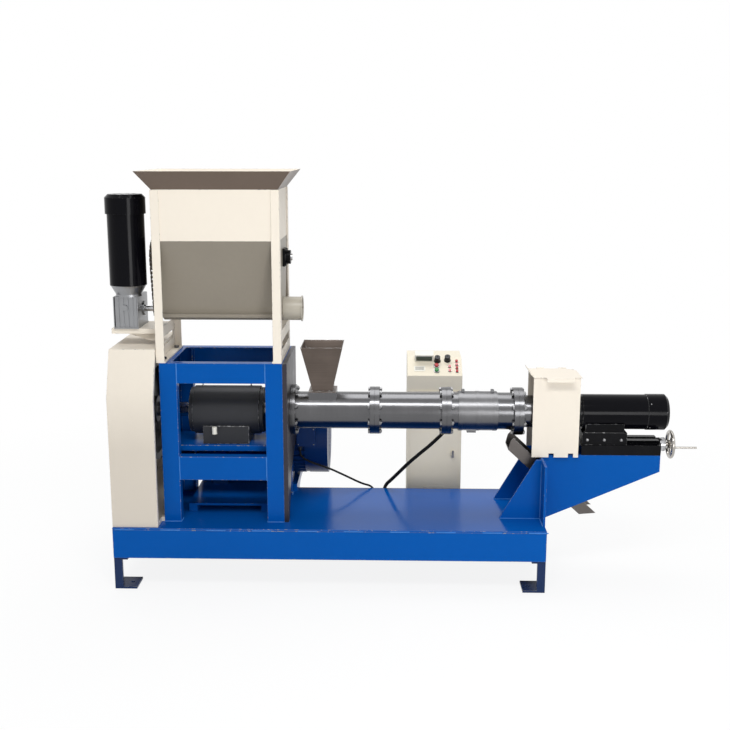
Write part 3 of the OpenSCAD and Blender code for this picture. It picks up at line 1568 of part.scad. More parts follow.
module guard_lid() {
  z = [cg_z1 + lid_gap, cg_z1 + lid_gap + lid_t];
  over = 4;
  fold = 10;
  rim = cg_y0 - over;
  color("antiquewhite") {
    along_z(z[0], z[1]) polygon([[cg_x0, rim], [cg_x1 + over, rim], [cg_x1 + over, cg_y1 - lid_corner],
      [cg_x1 + over - lid_corner, cg_y1], [cg_x0, cg_y1]]);
    along_y(rim, cg_y1) polygon([[cg_x0, z[0]], [cg_x0, z[1]], [cg_x0 - lid_lip, z[1] + lid_lip],
      [cg_x0 - lid_lip, z[0] + lid_lip]]);
    along_x(handle_x0, handle_x0 + handle_l) polygon([[rim, z[0]], [rim, z[1]], [rim - handle_out, z[1]],
      [rim - handle_out - over, z[0] - fold], [rim - handle_out, z[0] - fold],
      [rim - handle_out + over, z[0]]]);
    for (x = guard_hinge_x) along_x(x, x + guard_hinge_l / 2 - pass_gap) difference() {
      union() {
        disc(hinge_r, [hinge_y, hinge_z]);
        rect([cg_y1 - sink, hinge_y], [hinge_z, hinge_z + lid_t]);
      }
      disc(hinge_pin_r + run_gap, [hinge_y, hinge_z]);
    }
  }
}
// Shaft, hub and blades that sweep the die
module cutter_head() {
  color("silver") {
    along_x(blade_x0, cm_x0 + cutter_bore_l - near) disc(cutter_shaft_r, shaft_at);
    along_x(blade_x0, blade_x0 + hub_l) disc(hub_r, shaft_at);
    for (i = [0 : blade_count - 1]) along_x(blade_x0, blade_x0 + blade_t) translate(shaft_at)
      rotate(360 * i / blade_count + 30) translate([0, -blade_w / 2]) square([blade_r, blade_w]);
  }
}

module cabinet_shell() {
  open_x = [cab_x0 + door_open_margin, cab_x1 - door_open_margin];
  t = cabinet_sheet;
  color("antiquewhite") {
    difference() {
      along_x(cab_x0, cab_x1) polygon(cab_outline);
      along_x(cab_x0 + t, cab_x1 - t) polygon(drawn_in(cab_outline, t));
      box(open_x, [cabinet_y - cut, cabinet_y + t + cut],
        [door_z0 + door_margin, door_z1 - door_margin]);
    }
    for (z = door_hinge_z) translate([door_hinge_x, door_hinge_y, z]) {
      translate([0, 0, door_knuckle_l / 2 + pass_gap]) cylinder(r = door_knuckle_r, h = door_knuckle_l / 2);
      cylinder(r = door_pin_r, h = door_knuckle_l);
    }
    for (z = door_hinge_z)
      box([door_hinge_x - door_knuckle_r, door_hinge_x], [door_hinge_y, cabinet_y],
        [z + door_knuckle_l / 2 + pass_gap, z + door_knuckle_l]);
  }
}
module cabinet_door() {
  x1 = cab_x1 - door_margin;
  x0 = door_hinge_x + door_knuckle_r + door_hinge_gap;
  lock_in = 22;
  color("antiquewhite") {
    box([x0, x1], [door_y - door_t, door_y], [door_z0, door_z1]);
    for (z = door_hinge_z) {
      translate([door_hinge_x, door_hinge_y, z]) difference() {
        cylinder(r = door_knuckle_r, h = door_knuckle_l / 2);
        translate([0, 0, -cut]) cylinder(r = door_pin_r + run_gap, h = door_knuckle_l);
      }
      box([door_hinge_x + door_pin_r + sink, x0 + sink], [door_y - door_t, door_y - door_t + door_hinge_gap],
        [z, z + door_knuckle_l / 2]);
    }
    along_y(door_y - door_t - lock_out, door_y - door_t)
      disc(lock_r, [x1 - lock_in, (door_z0 + door_z1) / 2]);
  }
}
// The console's own frame: x across, y up the slope, z out of the panel
module on_console(at) {
  translate([cabinet_x, cabinet_y, cabinet_front_h]) rotate([console_angle, 0, 0])
    translate([at[0], at[1], 0]) children();
}
module panel_parts() {
  color("darkslategray") {
    for (at = [start_at, stop_at]) on_console(at) difference() {
      cylinder(r = button_bezel_r, h = bezel_t);
      translate([0, 0, -cut]) cylinder(r = button_r + pass_gap, h = bezel_t + 2 * cut);
    }
    for (at = lamp_at) on_console(at) cylinder(r = lamp_r, h = lamp_h);
    for (at = [knob_left_at, knob_right_at]) on_console(at) cylinder(r = knob_r + knob_edge, h = knob_base_t);
    on_console(meter_at) translate([-meter_size[0] / 2, -meter_size[1] / 2, 0]) cube(meter_size);
    on_console(legend_at) translate([-legend_size[0] / 2, -legend_size[1] / 2, 0]) cube(legend_size);
  }
}
module button(at) {
  on_console(at) translate([0, 0, button_travel + pass_gap]) cylinder(r = button_r, h = button_out);
}
module start_button() {
  color("green") button(start_at);
}
module stop_button() {
  color("red") button(stop_at);
}
module speed_knob(at) {
  pointer = 3;
  on_console(at) translate([0, 0, knob_base_t + pass_gap]) {
    cylinder(r = knob_r, h = knob_h);
    translate([-pointer / 2, 0, knob_h]) cube([pointer, knob_r - knob_edge, knob_edge]);
  }
}
module speed_knob_left() {
  color("black") speed_knob(knob_left_at);
}
module speed_knob_right() {
  color("black") speed_knob(knob_right_at);
}

// A gland on a box's wall: its nut, then the cap that the cable comes out of
module gland(port, way, r) {
  translate(port) rotate(way) {
    cylinder(r = r + 2 * gland_wall, h = gland_hex_l, $fn = 6);
    translate([0, 0, gland_hex_l]) cylinder(r = r + gland_wall, h = gland_cap_l);
  }
}
module cable_glands() {
  left = [0, -90, 0];
  down = [180, 0, 0];
  conduit_in = [70, 38];
  cable_in = [130, 56];
  port_in = [12, 19];
  color("black") {
    gland(heater_port, left, conduit_r);
    gland([cab_x0, cabinet_y + conduit_in[0], conduit_in[1]], left, conduit_r);
    gland([terminal_x + port_in[0], terminal_y + port_in[1], terminal_z], down, cable_r);
    gland([cab_x0, cabinet_y + cable_in[0], cable_in[1]], left, cable_r);
  }
}
// A many-sided tube swept along the points of a route
module cord(line, r, sides) {
  n = len(line);
  rings = [for (i = [0 : n - 1])
    let (way = line[min(i + 1, n - 1)] - line[max(i - 1, 0)])
    let (side = cross(way, [0, 1, 0.2]) / norm(cross(way, [0, 1, 0.2])))
    let (lift = cross(side, way) / norm(way))
    for (k = [0 : sides - 1]) line[i] + r * (cos(360 * k / sides) * side + sin(360 * k / sides) * lift)];
  walls = [for (i = [0 : n - 2], k = [0 : sides - 1], half = [0, 1])
    let (a = i * sides + k)
    let (b = i * sides + (k + 1) % sides)
    half == 0 ? [a, b, b + sides] : [a, b + sides, a + sides]];
  caps = [[for (k = [sides - 1 : -1 : 0]) k], [for (k = [0 : sides - 1]) (n - 1) * sides + k]];
  polyhedron(rings, concat(walls, caps));
}
module heater_conduit() {
  color("black") cord(conduit_route, conduit_r, 12);
}
module motor_cable() {
  color("black") cord(motor_route, cable_r, 8);
}

// Bolts that hold the hopper's feet, the motor and the slide bed
module frame_bolts() {
  foot_bolt_d = 10;
  motor_bolt_d = 14;
  bed_bolt_d = 10;
  bed_bolt_in = [30, 24];
  foot_in = [(leg_foot_w + leg_t) / 2, leg_w + leg_foot_w / 2];
  color("gray") {
    for (x = [hopper_x0 + foot_in[0], hopper_x1 - foot_in[0]],
        y = [hopper_y0 + foot_in[1], hopper_y1 - foot_in[1]])
      bolt_head_z([x, y], tower_z1 + leg_foot_t, foot_bolt_d);
    for (x = motor_foot_x, side = [-1, 1])
      bolt_head_z([x, motor_y + side * motor_foot_half], motor_z - motor_centre_h + foot_pad_t, motor_bolt_d);
    translate([0, 0, arm_z - top_plate_t]) mirror([0, 0, 1])
      for (x = [bed_x0 + bed_bolt_in[0], arm_x1 - bed_bolt_in[0]], side = [-1, 1])
        bolt_head_z([x, shaft_y + side * (arm_w / 2 - bed_bolt_in[1])], 0, bed_bolt_d);
  }
}

base_frame();
base_deck();
floor_feet();
tower_frame();
face_plate();
bearing_housing();
housing_covers();
bearing_rings();
oil_sight();
barrel_feed_section();
barrel_middle_section();
barrel_die_section();
flange_bolts();
die_adaptor();
die_plate();
heater_band();
feed_funnel();
belt_guard();
motor_housing();
motor_mount();
drive_belts();
hopper_shell();
hopper_cone();
hopper_frame();
feed_trough();
feeder_shelf();
feeder_gearbox();
feeder_motor();
flange_bearings();
drive_chain();
support_bracket();
discharge_chute();
slide_bed();
cabinet_shell();
panel_parts();
cable_glands();
heater_conduit();
motor_cable();
frame_bolts();
main_shaft();
extruder_screw();
large_pulley();
motor_rotor();
small_pulley();
feed_auger();
auger_sprocket();
agitator();
agitator_sprocket();
slide_saddle();
cutter_motor();
cutter_guard();
cutter_head();
guard_lid();
handwheel();
crank_grip();
cabinet_door();
start_button();
stop_button();
speed_knob_left();
speed_knob_right();
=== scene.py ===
# %% [markdown]
# # A dog food extruder
#
# Meal falls from the hopper into a feed screw, and the main screw drives it down a thick barrel,
# where friction cooks it. A cutter on a slide slices what leaves the die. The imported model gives
# each piece its real size and place. This script dresses that frame in Blender: it paints plate,
# gives turned and cast metal its sheen, rounds every edge, and adds the welds, screws, straps and
# louvres that a viewer expects to find when they come close.

# %% Load the frame
import json
import math

import bmesh
import bpy
from mathutils import Matrix, Vector


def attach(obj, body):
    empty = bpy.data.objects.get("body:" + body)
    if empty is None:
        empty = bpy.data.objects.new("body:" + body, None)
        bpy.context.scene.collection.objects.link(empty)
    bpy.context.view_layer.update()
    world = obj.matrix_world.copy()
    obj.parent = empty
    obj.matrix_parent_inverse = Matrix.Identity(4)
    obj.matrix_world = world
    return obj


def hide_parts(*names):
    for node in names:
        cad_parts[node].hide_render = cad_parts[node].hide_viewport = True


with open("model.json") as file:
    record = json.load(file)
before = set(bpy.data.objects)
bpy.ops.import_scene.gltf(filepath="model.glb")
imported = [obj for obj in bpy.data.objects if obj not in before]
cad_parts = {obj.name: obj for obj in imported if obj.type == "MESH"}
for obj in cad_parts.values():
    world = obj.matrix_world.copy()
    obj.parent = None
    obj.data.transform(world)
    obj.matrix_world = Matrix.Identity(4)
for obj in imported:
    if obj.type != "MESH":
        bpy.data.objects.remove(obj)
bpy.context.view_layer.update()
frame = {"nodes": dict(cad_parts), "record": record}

MM = 0.001
BODIES = frame["record"]["behaviour"]["bodies"]
BODY_OF = {node: body for body, nodes in BODIES.items() for node in nodes}
SLOT_OF = {part["node"]: part["material_slot"] for part in frame["record"]["subparts"]}

# %% [markdown]
# ## The camera
#
# A product photographer stands back and uses a longish lens, so that upright edges stay upright.
# The camera could be placed by eye. Here its height, tilt and lens were solved from the machine's
# own straight edges, because every later comparison rests on them.

# %% Camera at the photograph's viewing angle
CAMERA_AT = Vector((0.2243, -3.8352, 1.5785))
TURN = 0.026
TILT_DOWN = 0.203
LENS = 52.27
SENSOR = 36.0

view = bpy.data.cameras.new("view")
view.lens = LENS
view.sensor_width = SENSOR
camera = bpy.data.objects.new("view", view)
camera.location = CAMERA_AT
camera.rotation_euler = (math.pi / 2 - TILT_DOWN, 0, TURN)
bpy.context.scene.collection.objects.link(camera)
bpy.context.scene.camera = camera
print("camera at", tuple(CAMERA_AT))

# %% [markdown]
# ## The two free cables
#
# A flexible conduit runs from the heater to the control cabinet, and a rubber cable from the main
# motor to the same cabinet. Each has a fixed length and hangs under its own weight. A cable could
# be a curve with a round bevel, but the conduit's ribs could not. So each is turned straight first,
# one ribbed and one plain, and every point is then carried onto the route's line.

# %% Routes, in millimetres, from one gland to the other
CONDUIT_ROUTE = [
    (488, 76, 541), (474, 76, 541), (458, 76, 538), (441, 76, 529), (425, 77, 515),
    (411, 79, 500), (392, 85, 479), (369, 94, 454), (341, 106, 426), (315, 122, 398),
    (288, 142, 367), (264, 166, 335), (241, 192, 303), (221, 220, 274), (204, 246, 248),
    (194, 266, 216), (187, 281, 180), (183, 293, 142), (181, 303, 104), (180, 313, 68),
    (180, 326, 38), (180, 346, 17), (180, 374, 8), (180, 402, 7), (180, 428, 7), (183, 447, 8),
    (190, 464, 12), (201, 479, 18), (216, 490, 26), (233, 498, 33), (252, 500, 38),
    (268, 500, 38)]
CABLE_ROUTE = [
    (-135, 176, 410), (-135, 176, 399), (-131, 176, 387), (-121, 176, 376), (-106, 176, 367),
    (-86, 176, 358), (-62, 177, 349), (-36, 179, 339), (-10, 183, 328), (16, 189, 314),
    (42, 197, 299), (68, 207, 283), (93, 219, 267), (116, 231, 254), (136, 243, 244),
    (150, 256, 228), (156, 268, 206), (158, 279, 182), (158, 289, 157), (157, 299, 131),
    (155, 309, 105), (152, 320, 79), (150, 334, 53), (148, 352, 30), (147, 374, 13),
    (146, 400, 5), (146, 426, 4), (146, 452, 4), (148, 478, 4), (154, 503, 6), (166, 525, 12),
    (183, 543, 22), (204, 555, 35), (227, 560, 47), (249, 560, 56), (268, 560, 56)]


def centre_points(route):
    """The points of a smooth line through the route, with round bends between its points."""
    curve = bpy.data.curves.new("route", "CURVE")
    curve.dimensions = "3D"
    curve.resolution_u = 6
    spline = curve.splines.new("BEZIER")
    spline.bezier_points.add(len(route) - 1)
    for knot, place in zip(spline.bezier_points, route):
        knot.co = Vector(place) * MM
        knot.handle_left_type = knot.handle_right_type = "AUTO"
    guide = bpy.data.objects.new("route", curve)
    bpy.context.scene.collection.objects.link(guide)
    bpy.context.view_layer.update()
    mesh = bpy.data.meshes.new_from_object(guide)
    points = [v.co.copy() for v in mesh.vertices]
    bpy.data.meshes.remove(mesh)
    bpy.data.objects.remove(guide)
    bpy.data.curves.remove(curve)
    return points


def line_length(points):
    return sum((b - a).length for a, b in zip(points, points[1:]))


# %% Turn a hose and carry it onto a line
SAME_POINT = 1e-6


def finish_mesh(bm, name):
    """Turns a bmesh into a linked object whose faces point outwards."""
    mesh = bpy.data.meshes.new(name)
    bmesh.ops.recalc_face_normals(bm, faces=bm.faces)
    bm.to_mesh(mesh)
    bm.free()
    mesh.shade_smooth()
    piece = bpy.data.objects.new(name, mesh)
    bpy.context.scene.collection.objects.link(piece)
    return piece


def spun_along_x(profile, sides):
    """A solid of revolution about X from its (x, radius) profile, open outline closed on the axis."""
    bm = bmesh.new()
    verts = [bm.verts.new((x, 0, r)) for x, r in profile]
    edges = [bm.edges.new(pair) for pair in zip(verts, verts[1:])]
    bmesh.ops.spin(bm, geom=verts + edges, cent=(0, 0, 0), axis=(1, 0, 0), dvec=(0, 0, 0),
                   angle=2 * math.pi, steps=sides, use_merge=True, use_normal_flip=False,
                   use_duplicate=False)
    bmesh.ops.remove_doubles(bm, verts=bm.verts, dist=SAME_POINT)
    return bm


def hose_profile(length, outer, step, depth):
    """A hose's outline: a groove and a crown at each step, closed at both ends."""
    profile = [(0, 0)]
    groove_end, crown_from, crown_end = 0.25 * step, 0.4 * step, 0.85 * step
    for i in range(int(length / step)):
        x = i * step
        profile += [(x, outer - depth), (x + groove_end, outer - depth),
                    (x + crown_from, outer), (x + crown_end, outer)]
    return profile + [(length, outer - depth), (length, 0)]


def carried_on(bm, points):
    """Moves a mesh that lies along X onto a line of points, square to it all the way.

    Past the middle of each stretch the cross-section starts to turn towards the next one, so that
    the hose doesn't crease where two stretches meet."""
    steps = [(b - a).length for a, b in zip(points, points[1:])]
    heading = [(b - a).normalized() for a, b in zip(points, points[1:])]
    side = [heading[0].orthogonal().normalized()]
    for way in heading[1:]:
        side.append((side[-1] - way * side[-1].dot(way)).normalized())
    starts = [0.0]
    for step in steps:
        starts.append(starts[-1] + step)
    order = sorted(bm.verts, key=lambda v: v.co.x)
    k = 0
    for v in order:
        while k < len(steps) - 1 and v.co.x > starts[k + 1]:
            k += 1
        share = min(1.0, (v.co.x - starts[k]) / steps[k])
        nxt = min(k + 1, len(steps) - 1)
        blend = max(0.0, share - 0.5)
        way = (heading[k] * (1 - blend) + heading[nxt] * blend).normalized()
        across = (side[k] * (1 - blend) + side[nxt] * blend).normalized()
        across = (across - way * across.dot(way)).normalized()
        on_line = points[k] + heading[k] * (share * steps[k])
        v.co = on_line + across * v.co.y + way.cross(across) * v.co.z


# %% The ribbed conduit
CONDUIT_D = 14 * MM
RIB_STEP = 3.4 * MM
RIB_DEPTH = 0.9 * MM
CONDUIT_SIDES = 14

conduit_points = centre_points(CONDUIT_ROUTE)
conduit_length = line_length(conduit_points)
hose = spun_along_x(hose_profile(conduit_length, CONDUIT_D / 2, RIB_STEP, RIB_DEPTH), CONDUIT_SIDES)
carried_on(hose, conduit_points)
conduit = finish_mesh(hose, "heater_conduit_hose")
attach(conduit, "root")
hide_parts("heater_conduit")
print("conduit:", round(conduit_length, 3), "m,", len(conduit.data.polygons), "faces")

# %% The motor's rubber cable
CABLE_D = 8 * MM
CABLE_STEP = 6 * MM
CABLE_SIDES = 12


def plain_profile(length, radius, step):
    """A plain round cable's outline, with a ring of points at each step."""
    count = round(length / step)
    rings = [(length * i / count, radius) for i in range(count + 1)]
    return [(0, 0)] + rings + [(length, 0)]


cable_points = centre_points(CABLE_ROUTE)
cable_length = line_length(cable_points)
lead = spun_along_x(plain_profile(cable_length, CABLE_D / 2, CABLE_STEP), CABLE_SIDES)
carried_on(lead, cable_points)
cable = finish_mesh(lead, "motor_cable_lead")
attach(cable, "root")
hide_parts("motor_cable")
print("cable:", round(cable_length, 3), "m")

# %% [markdown]
# ## Shader arithmetic
#
# A finish is a small sum: base colour times mottling, roughness plus smears. Wired by hand, every
# plus sign is a node and two links. The first class below wraps a socket and overloads the
# operators, so that a finish reads as one line of arithmetic. The second holds the node tree, and
# anything that isn't arithmetic goes through its one method that adds a node: its settings first,
# because they decide which sockets it has, and then the sockets.

# %% A socket that can be added and multiplied


class Wire:
    """One output socket in a node tree, for arithmetic on shader values."""

    def __init__(self, nodes, socket):
        self.nodes = nodes
        self.socket = socket

    def maths(self, operation, first, second, clamp=False):
        settings = {"operation": operation, "use_clamp": clamp}
        return self.nodes.node("Math", settings, {0: first, 1: second})

    def __add__(self, other):
        return self.maths("ADD", self, other)

    __radd__ = __add__

    def __mul__(self, other):
        return self.maths("MULTIPLY", self, other)

    __rmul__ = __mul__

    def __sub__(self, other):
        return self.maths("SUBTRACT", self, other)

    def __rsub__(self, other):
        return self.maths("SUBTRACT", other, self)

    def larger(self, other):
        return self.maths("MAXIMUM", self, other)

    def ramp(self, start, end):
        """0 below start and 1 above end, or the other way round, straight in between."""
        return self.maths("MULTIPLY", self - start, 1 / (end - start), clamp=True)


# %% A node tree, and the one way to add a node


class Nodes:
    """The node tree of a material or a world, in the making."""

    def __init__(self, tree):
        self.tree = tree

    def feed(self, socket, value):
        if isinstance(value, Wire):
            self.tree.links.new(value.socket, socket)
        else:
            socket.default_value = value

    def node(self, kind, settings=None, sockets=None, out=0):
        """Adds a node: first its settings, then the values or links of its sockets."""
        made = self.tree.nodes.new("ShaderNode" + kind)
        for name, value in (settings or {}).items():
            setattr(made, name, value)
        for name, value in (sockets or {}).items():
            self.feed(made.inputs[name], value)
        return Wire(self, made.outputs[out])

    def given(self, name, sockets):
        """A node that the tree came with, with its sockets fed."""
        made = self.tree.nodes[name]
        for socket, value in sockets.items():
            self.feed(made.inputs[socket], value)
        return Wire(self, made.outputs[0]) if made.outputs else None


# %% [markdown]
# ## Studio: floor, sky and lamps
#
# A cut-out catalogue picture has a white page behind it, yet its metal still reflects a bright
# room. A very bright floor would give both, but it would also wash out the colours. So the floor
# and the world are white only to the camera and to reflections, by Light Path, and they light the
# machine at a plain level. Away from the machine the floor glows up to full white, so that no
# horizon shows, while the shadow under the base stays.

# %% Which rays see the white page


def is_seen(nodes):
    """1 for camera, mirror and glass rays, 0 for the rays that light the machine."""
    eye, mirror, glass = (nodes.node("LightPath", out=name) for name in (
        "Is Camera Ray", "Is Glossy Ray", "Is Transmission Ray"))
    return eye.larger(mirror).larger(glass)


# %% A floor that stays pale and keeps the shadow
FLOOR_HALF = 30.0
FLOOR_COLOUR = (0.9, 0.9, 0.9, 1)
FLOOR_ROUGHNESS = 0.9
NEAR_GLOW = 0.87
GLOW_FROM = 1.1
GLOW_FULL = 2.7

bm = bmesh.new()
bmesh.ops.create_grid(bm, x_segments=1, y_segments=1, size=FLOOR_HALF)
floor = finish_mesh(bm, "studio_floor")

floor_paint = bpy.data.materials.new("floor_paper")
floor_paint.use_nodes = True
nodes = Nodes(floor_paint.node_tree)
paper = nodes.given("Principled BSDF", {"Base Color": FLOOR_COLOUR, "Roughness": FLOOR_ROUGHNESS})
place = nodes.node("TexCoord", out="Object")
reach = nodes.node("VectorMath", {"operation": "LENGTH"}, {0: place}, out="Value")
share = reach.ramp(GLOW_FROM, GLOW_FULL) * (1 - NEAR_GLOW) + NEAR_GLOW
glow = nodes.node("Emission")
both = nodes.node("MixShader", None, {0: share * is_seen(nodes), 1: paper, 2: glow})
nodes.given("Material Output", {"Surface": both})
floor.data.materials.append(floor_paint)
print("floor:", 2 * FLOOR_HALF, "m across")

# %% The sky
SKY_LIGHT = 0.42
SKY_COLOUR = (0.95, 0.98, 1.0, 1)
WHITE_PAGE = (1, 1, 1, 1)

world = bpy.data.worlds.new("sky")
bpy.context.scene.world = world
world.use_nodes = True
nodes = Nodes(world.node_tree)
sky = nodes.given("Background", {"Color": SKY_COLOUR, "Strength": SKY_LIGHT})
page = nodes.node("Background", None, {"Color": WHITE_PAGE})
both = nodes.node("MixShader", None, {0: is_seen(nodes), 1: sky, 2: page})
nodes.given("World Output", {"Surface": both})
print("sky strength:", SKY_LIGHT)

# %% [markdown]
# The lamps are four softboxes. The long narrow one stands high in front, because a turned barrel
# mirrors it as one white line, and the line's place on the barrel follows from the lamp's height.
# A low lamp reaches the cabinet, which the barrel and the deck would leave dark. Spot lamps would
# be simpler, but their small bright dots make steel look like plastic.

# %% The lamps


def softbox(name, at, aim, width, height, power):
    """A soft oblong lamp that looks from one point to another."""
    light = bpy.data.lights.new(name, "AREA")
    light.shape = "RECTANGLE"
    light.size = width
    light.size_y = height
    light.energy = power
    holder = bpy.data.objects.new(name, light)
    holder.location = at
    holder.rotation_euler = (Vector(aim) - Vector(at)).to_track_quat("-Z", "Y").to_euler()
    bpy.context.scene.collection.objects.link(holder)
    return holder


softbox("ceiling_softbox", (-0.3, 1.2, 4.2), (0, 0, 0.6), 3.4, 2.4, 84)
softbox("front_softbox", (0.2, -2.9, 4.2), (0.2, 0, 0.7), 2.6, 0.8, 98)
softbox("side_softbox", (4.0, -1.2, 2.4), (0.2, 0, 0.6), 1.8, 1.8, 8)
softbox("low_softbox", (1.7, -3.8, 0.8), (0.3, 0.4, 0.4), 1.4, 1.2, 40)
bpy.context.scene.view_settings.view_transform = "Standard"
lamps = [thing.data.energy for thing in bpy.context.scene.objects if thing.type == "LIGHT"]
print("lamps:", len(lamps), "with", round(sum(lamps)), "W together")

# %% [markdown]
# ## Finishes
#
# Brushed enamel never lies quite flat: it mottles a little, holds an orange peel and a slow wave
# of the plate under it, and dust dulls it in patches. Turned steel carries fine rings, rolled sheet
# carries long streaks. Photographs of such surfaces could be used as textures, but noise in object
# space needs no unwrapping and stays sharp at any distance, so every finish here is a formula.
#
# Along edges paint is thin and gets knocked off. The painted and cast finishes therefore have a
# second, worn version, which only the rounded edges of a piece wear: it shows islands of bare
# metal, more of them the harder the piece is used.

# %% A finish, from its noise to its shader


class Finish(Nodes):
    """A material in the making: its nodes, and the Principled shader that they feed."""

    def __init__(self, name, colour, roughness, constants):
        self.material = bpy.data.materials.new(name)
        self.material.use_nodes = True
        self.material.diffuse_color = (*colour, 1)
        super().__init__(self.material.node_tree)
        self.shader({"Base Color": (*colour, 1), "Roughness": roughness, **constants})
        self.place = self.node("TexCoord", out="Object")

    def shader(self, sockets):
        self.given("Principled BSDF", sockets)

    def noise(self, scale, detail=2.0, stretch=(1, 1, 1), roughness=0.5):
        """Soft noise, by object coordinates in metres, from about 0.3 to 0.7."""
        place = self.node("Mapping", None, {"Vector": self.place, "Scale": stretch})
        return self.node("TexNoise", None, {"Vector": place, "Scale": scale, "Detail": detail,
                                            "Roughness": roughness})

    def along(self, axis):
        """The object coordinate along X, Y or Z, in metres."""
        return self.node("SeparateXYZ", None, {"Vector": self.place}, out=axis)

    def blend(self, share, low, high):
        """A colour that goes from low to high as share goes from 0 to 1."""
        low, high = ((*c, 1) if isinstance(c, tuple) else c for c in (low, high))
        return self.node("Mix", {"data_type": "RGBA"}, {0: share, 6: low, 7: high}, out=2)

    def done(self, colour, rough, height, depth):
        """Feeds the shader with its colour, roughness and bump."""
        bumped = self.node("Bump", None, {"Height": height, "Distance": depth, "Strength": 1.0})
        self.shader({"Base Color": colour, "Roughness": rough, "Normal": bumped})
        return self.material


def shade(colour, factor):
    return tuple(min(1.0, c * factor) for c in colour)


# %% Paint, and where its edges are bare
BARE = (0.27, 0.27, 0.27)
CHIP_SIZE = 85.0
CHIP_SOFTNESS = 0.04
DUST = 0.22
PEEL = 0.03
PAINT_RELIEF = 0.0016


def chips(f, worn, fine=CHIP_SIZE):
    """Where an edge has lost its paint: islands of noise, more of them the more it is worn."""
    level = 0.62 - 0.16 * worn
    return f.noise(fine, 4.0, roughness=0.65).ramp(level, level + CHIP_SOFTNESS)


def enamel(name, colour, roughness=0.28, shine=0.1, mottle=0.05, wave=0.6, worn=0.0, over=None):
    """Air-dried machine enamel with a soft orange peel, slow waves and dusty patches."""
    f = Finish(name, colour, roughness, {"Specular IOR Level": shine})
    patches, specks = f.noise(3.0, 3.0), f.noise(55.0, 2.0)
    tone = patches * 1.4 + specks * 0.6 - 0.5
    paint = f.blend(tone, shade(colour, 1 - mottle), shade(colour, 1 + mottle))
    rough = f.noise(7.0, 3.0) * DUST + (roughness - DUST / 2)
    height = f.noise(5.0, 1.0) * wave + f.noise(340.0, 1.0) * PEEL
    if worn:
        chip = chips(f, worn)
        paint = f.blend(chip, f.blend(0.12, paint, BARE), BARE)
        rough = rough + chip * 0.25
        height = height - chip * 0.08
    if over:
        paint = over(f, paint)
    return f.done(paint, rough, height, PAINT_RELIEF)


def graded(name, colour, far_colour, start, end, axis=2, ragged=0.06, **details):
    """Enamel that turns to another colour over a stretch of one axis, used here to paint shade."""

    def turn(f, paint):
        share = (f.along(axis) + f.noise(9.0, 3.0) * ragged - ragged / 2).ramp(start, end)
        return f.blend(share, paint, far_colour)

    return enamel(name, colour, over=turn, **details)


# %% Metal, plastic and rubber
STAIN = 0.2
LINES = 0.12


def metal(name, colour, roughness=0.35, grain=(1, 1, 1), fine=600.0, spread=0.16, depth=0.00004,
          metallic=1.0, shine=0.5, worn=0.0):
    """Bare or lacquered metal. The grain's stretch makes it rings, streaks or a casting's grit."""
    f = Finish(name, colour, roughness, {"Metallic": metallic, "Specular IOR Level": shine})
    line = f.noise(fine, 2.0, grain)
    stain = f.noise(13.0, 4.0)
    tone = line * 0.6 + stain * 0.9 - 0.25
    skin = f.blend(tone, shade(colour, 1 - spread), shade(colour, 1 + spread))
    rough = line * LINES + stain * STAIN + (roughness - (LINES + STAIN) / 2)
    if worn:
        polish = chips(f, worn, 60.0)
        skin = f.blend(polish, f.blend(0.2, skin, BARE), shade(BARE, 1.5))
        rough = rough - polish * 0.1
    return f.done(skin, rough, line, depth)


def moulded(name, colour, roughness=0.4, shine=0.3, mottle=0.08, depth=0.00003):
    """Moulded plastic or rubber with a faint grain."""
    f = Finish(name, colour, roughness, {"Specular IOR Level": shine})
    skin = f.blend(f.noise(40.0, 2.0), shade(colour, 1 - mottle), shade(colour, 1 + mottle))
    rough = f.noise(90.0, 2.0) * STAIN + (roughness - STAIN / 2)
    return f.done(skin, rough, f.noise(800.0, 1.0), depth)


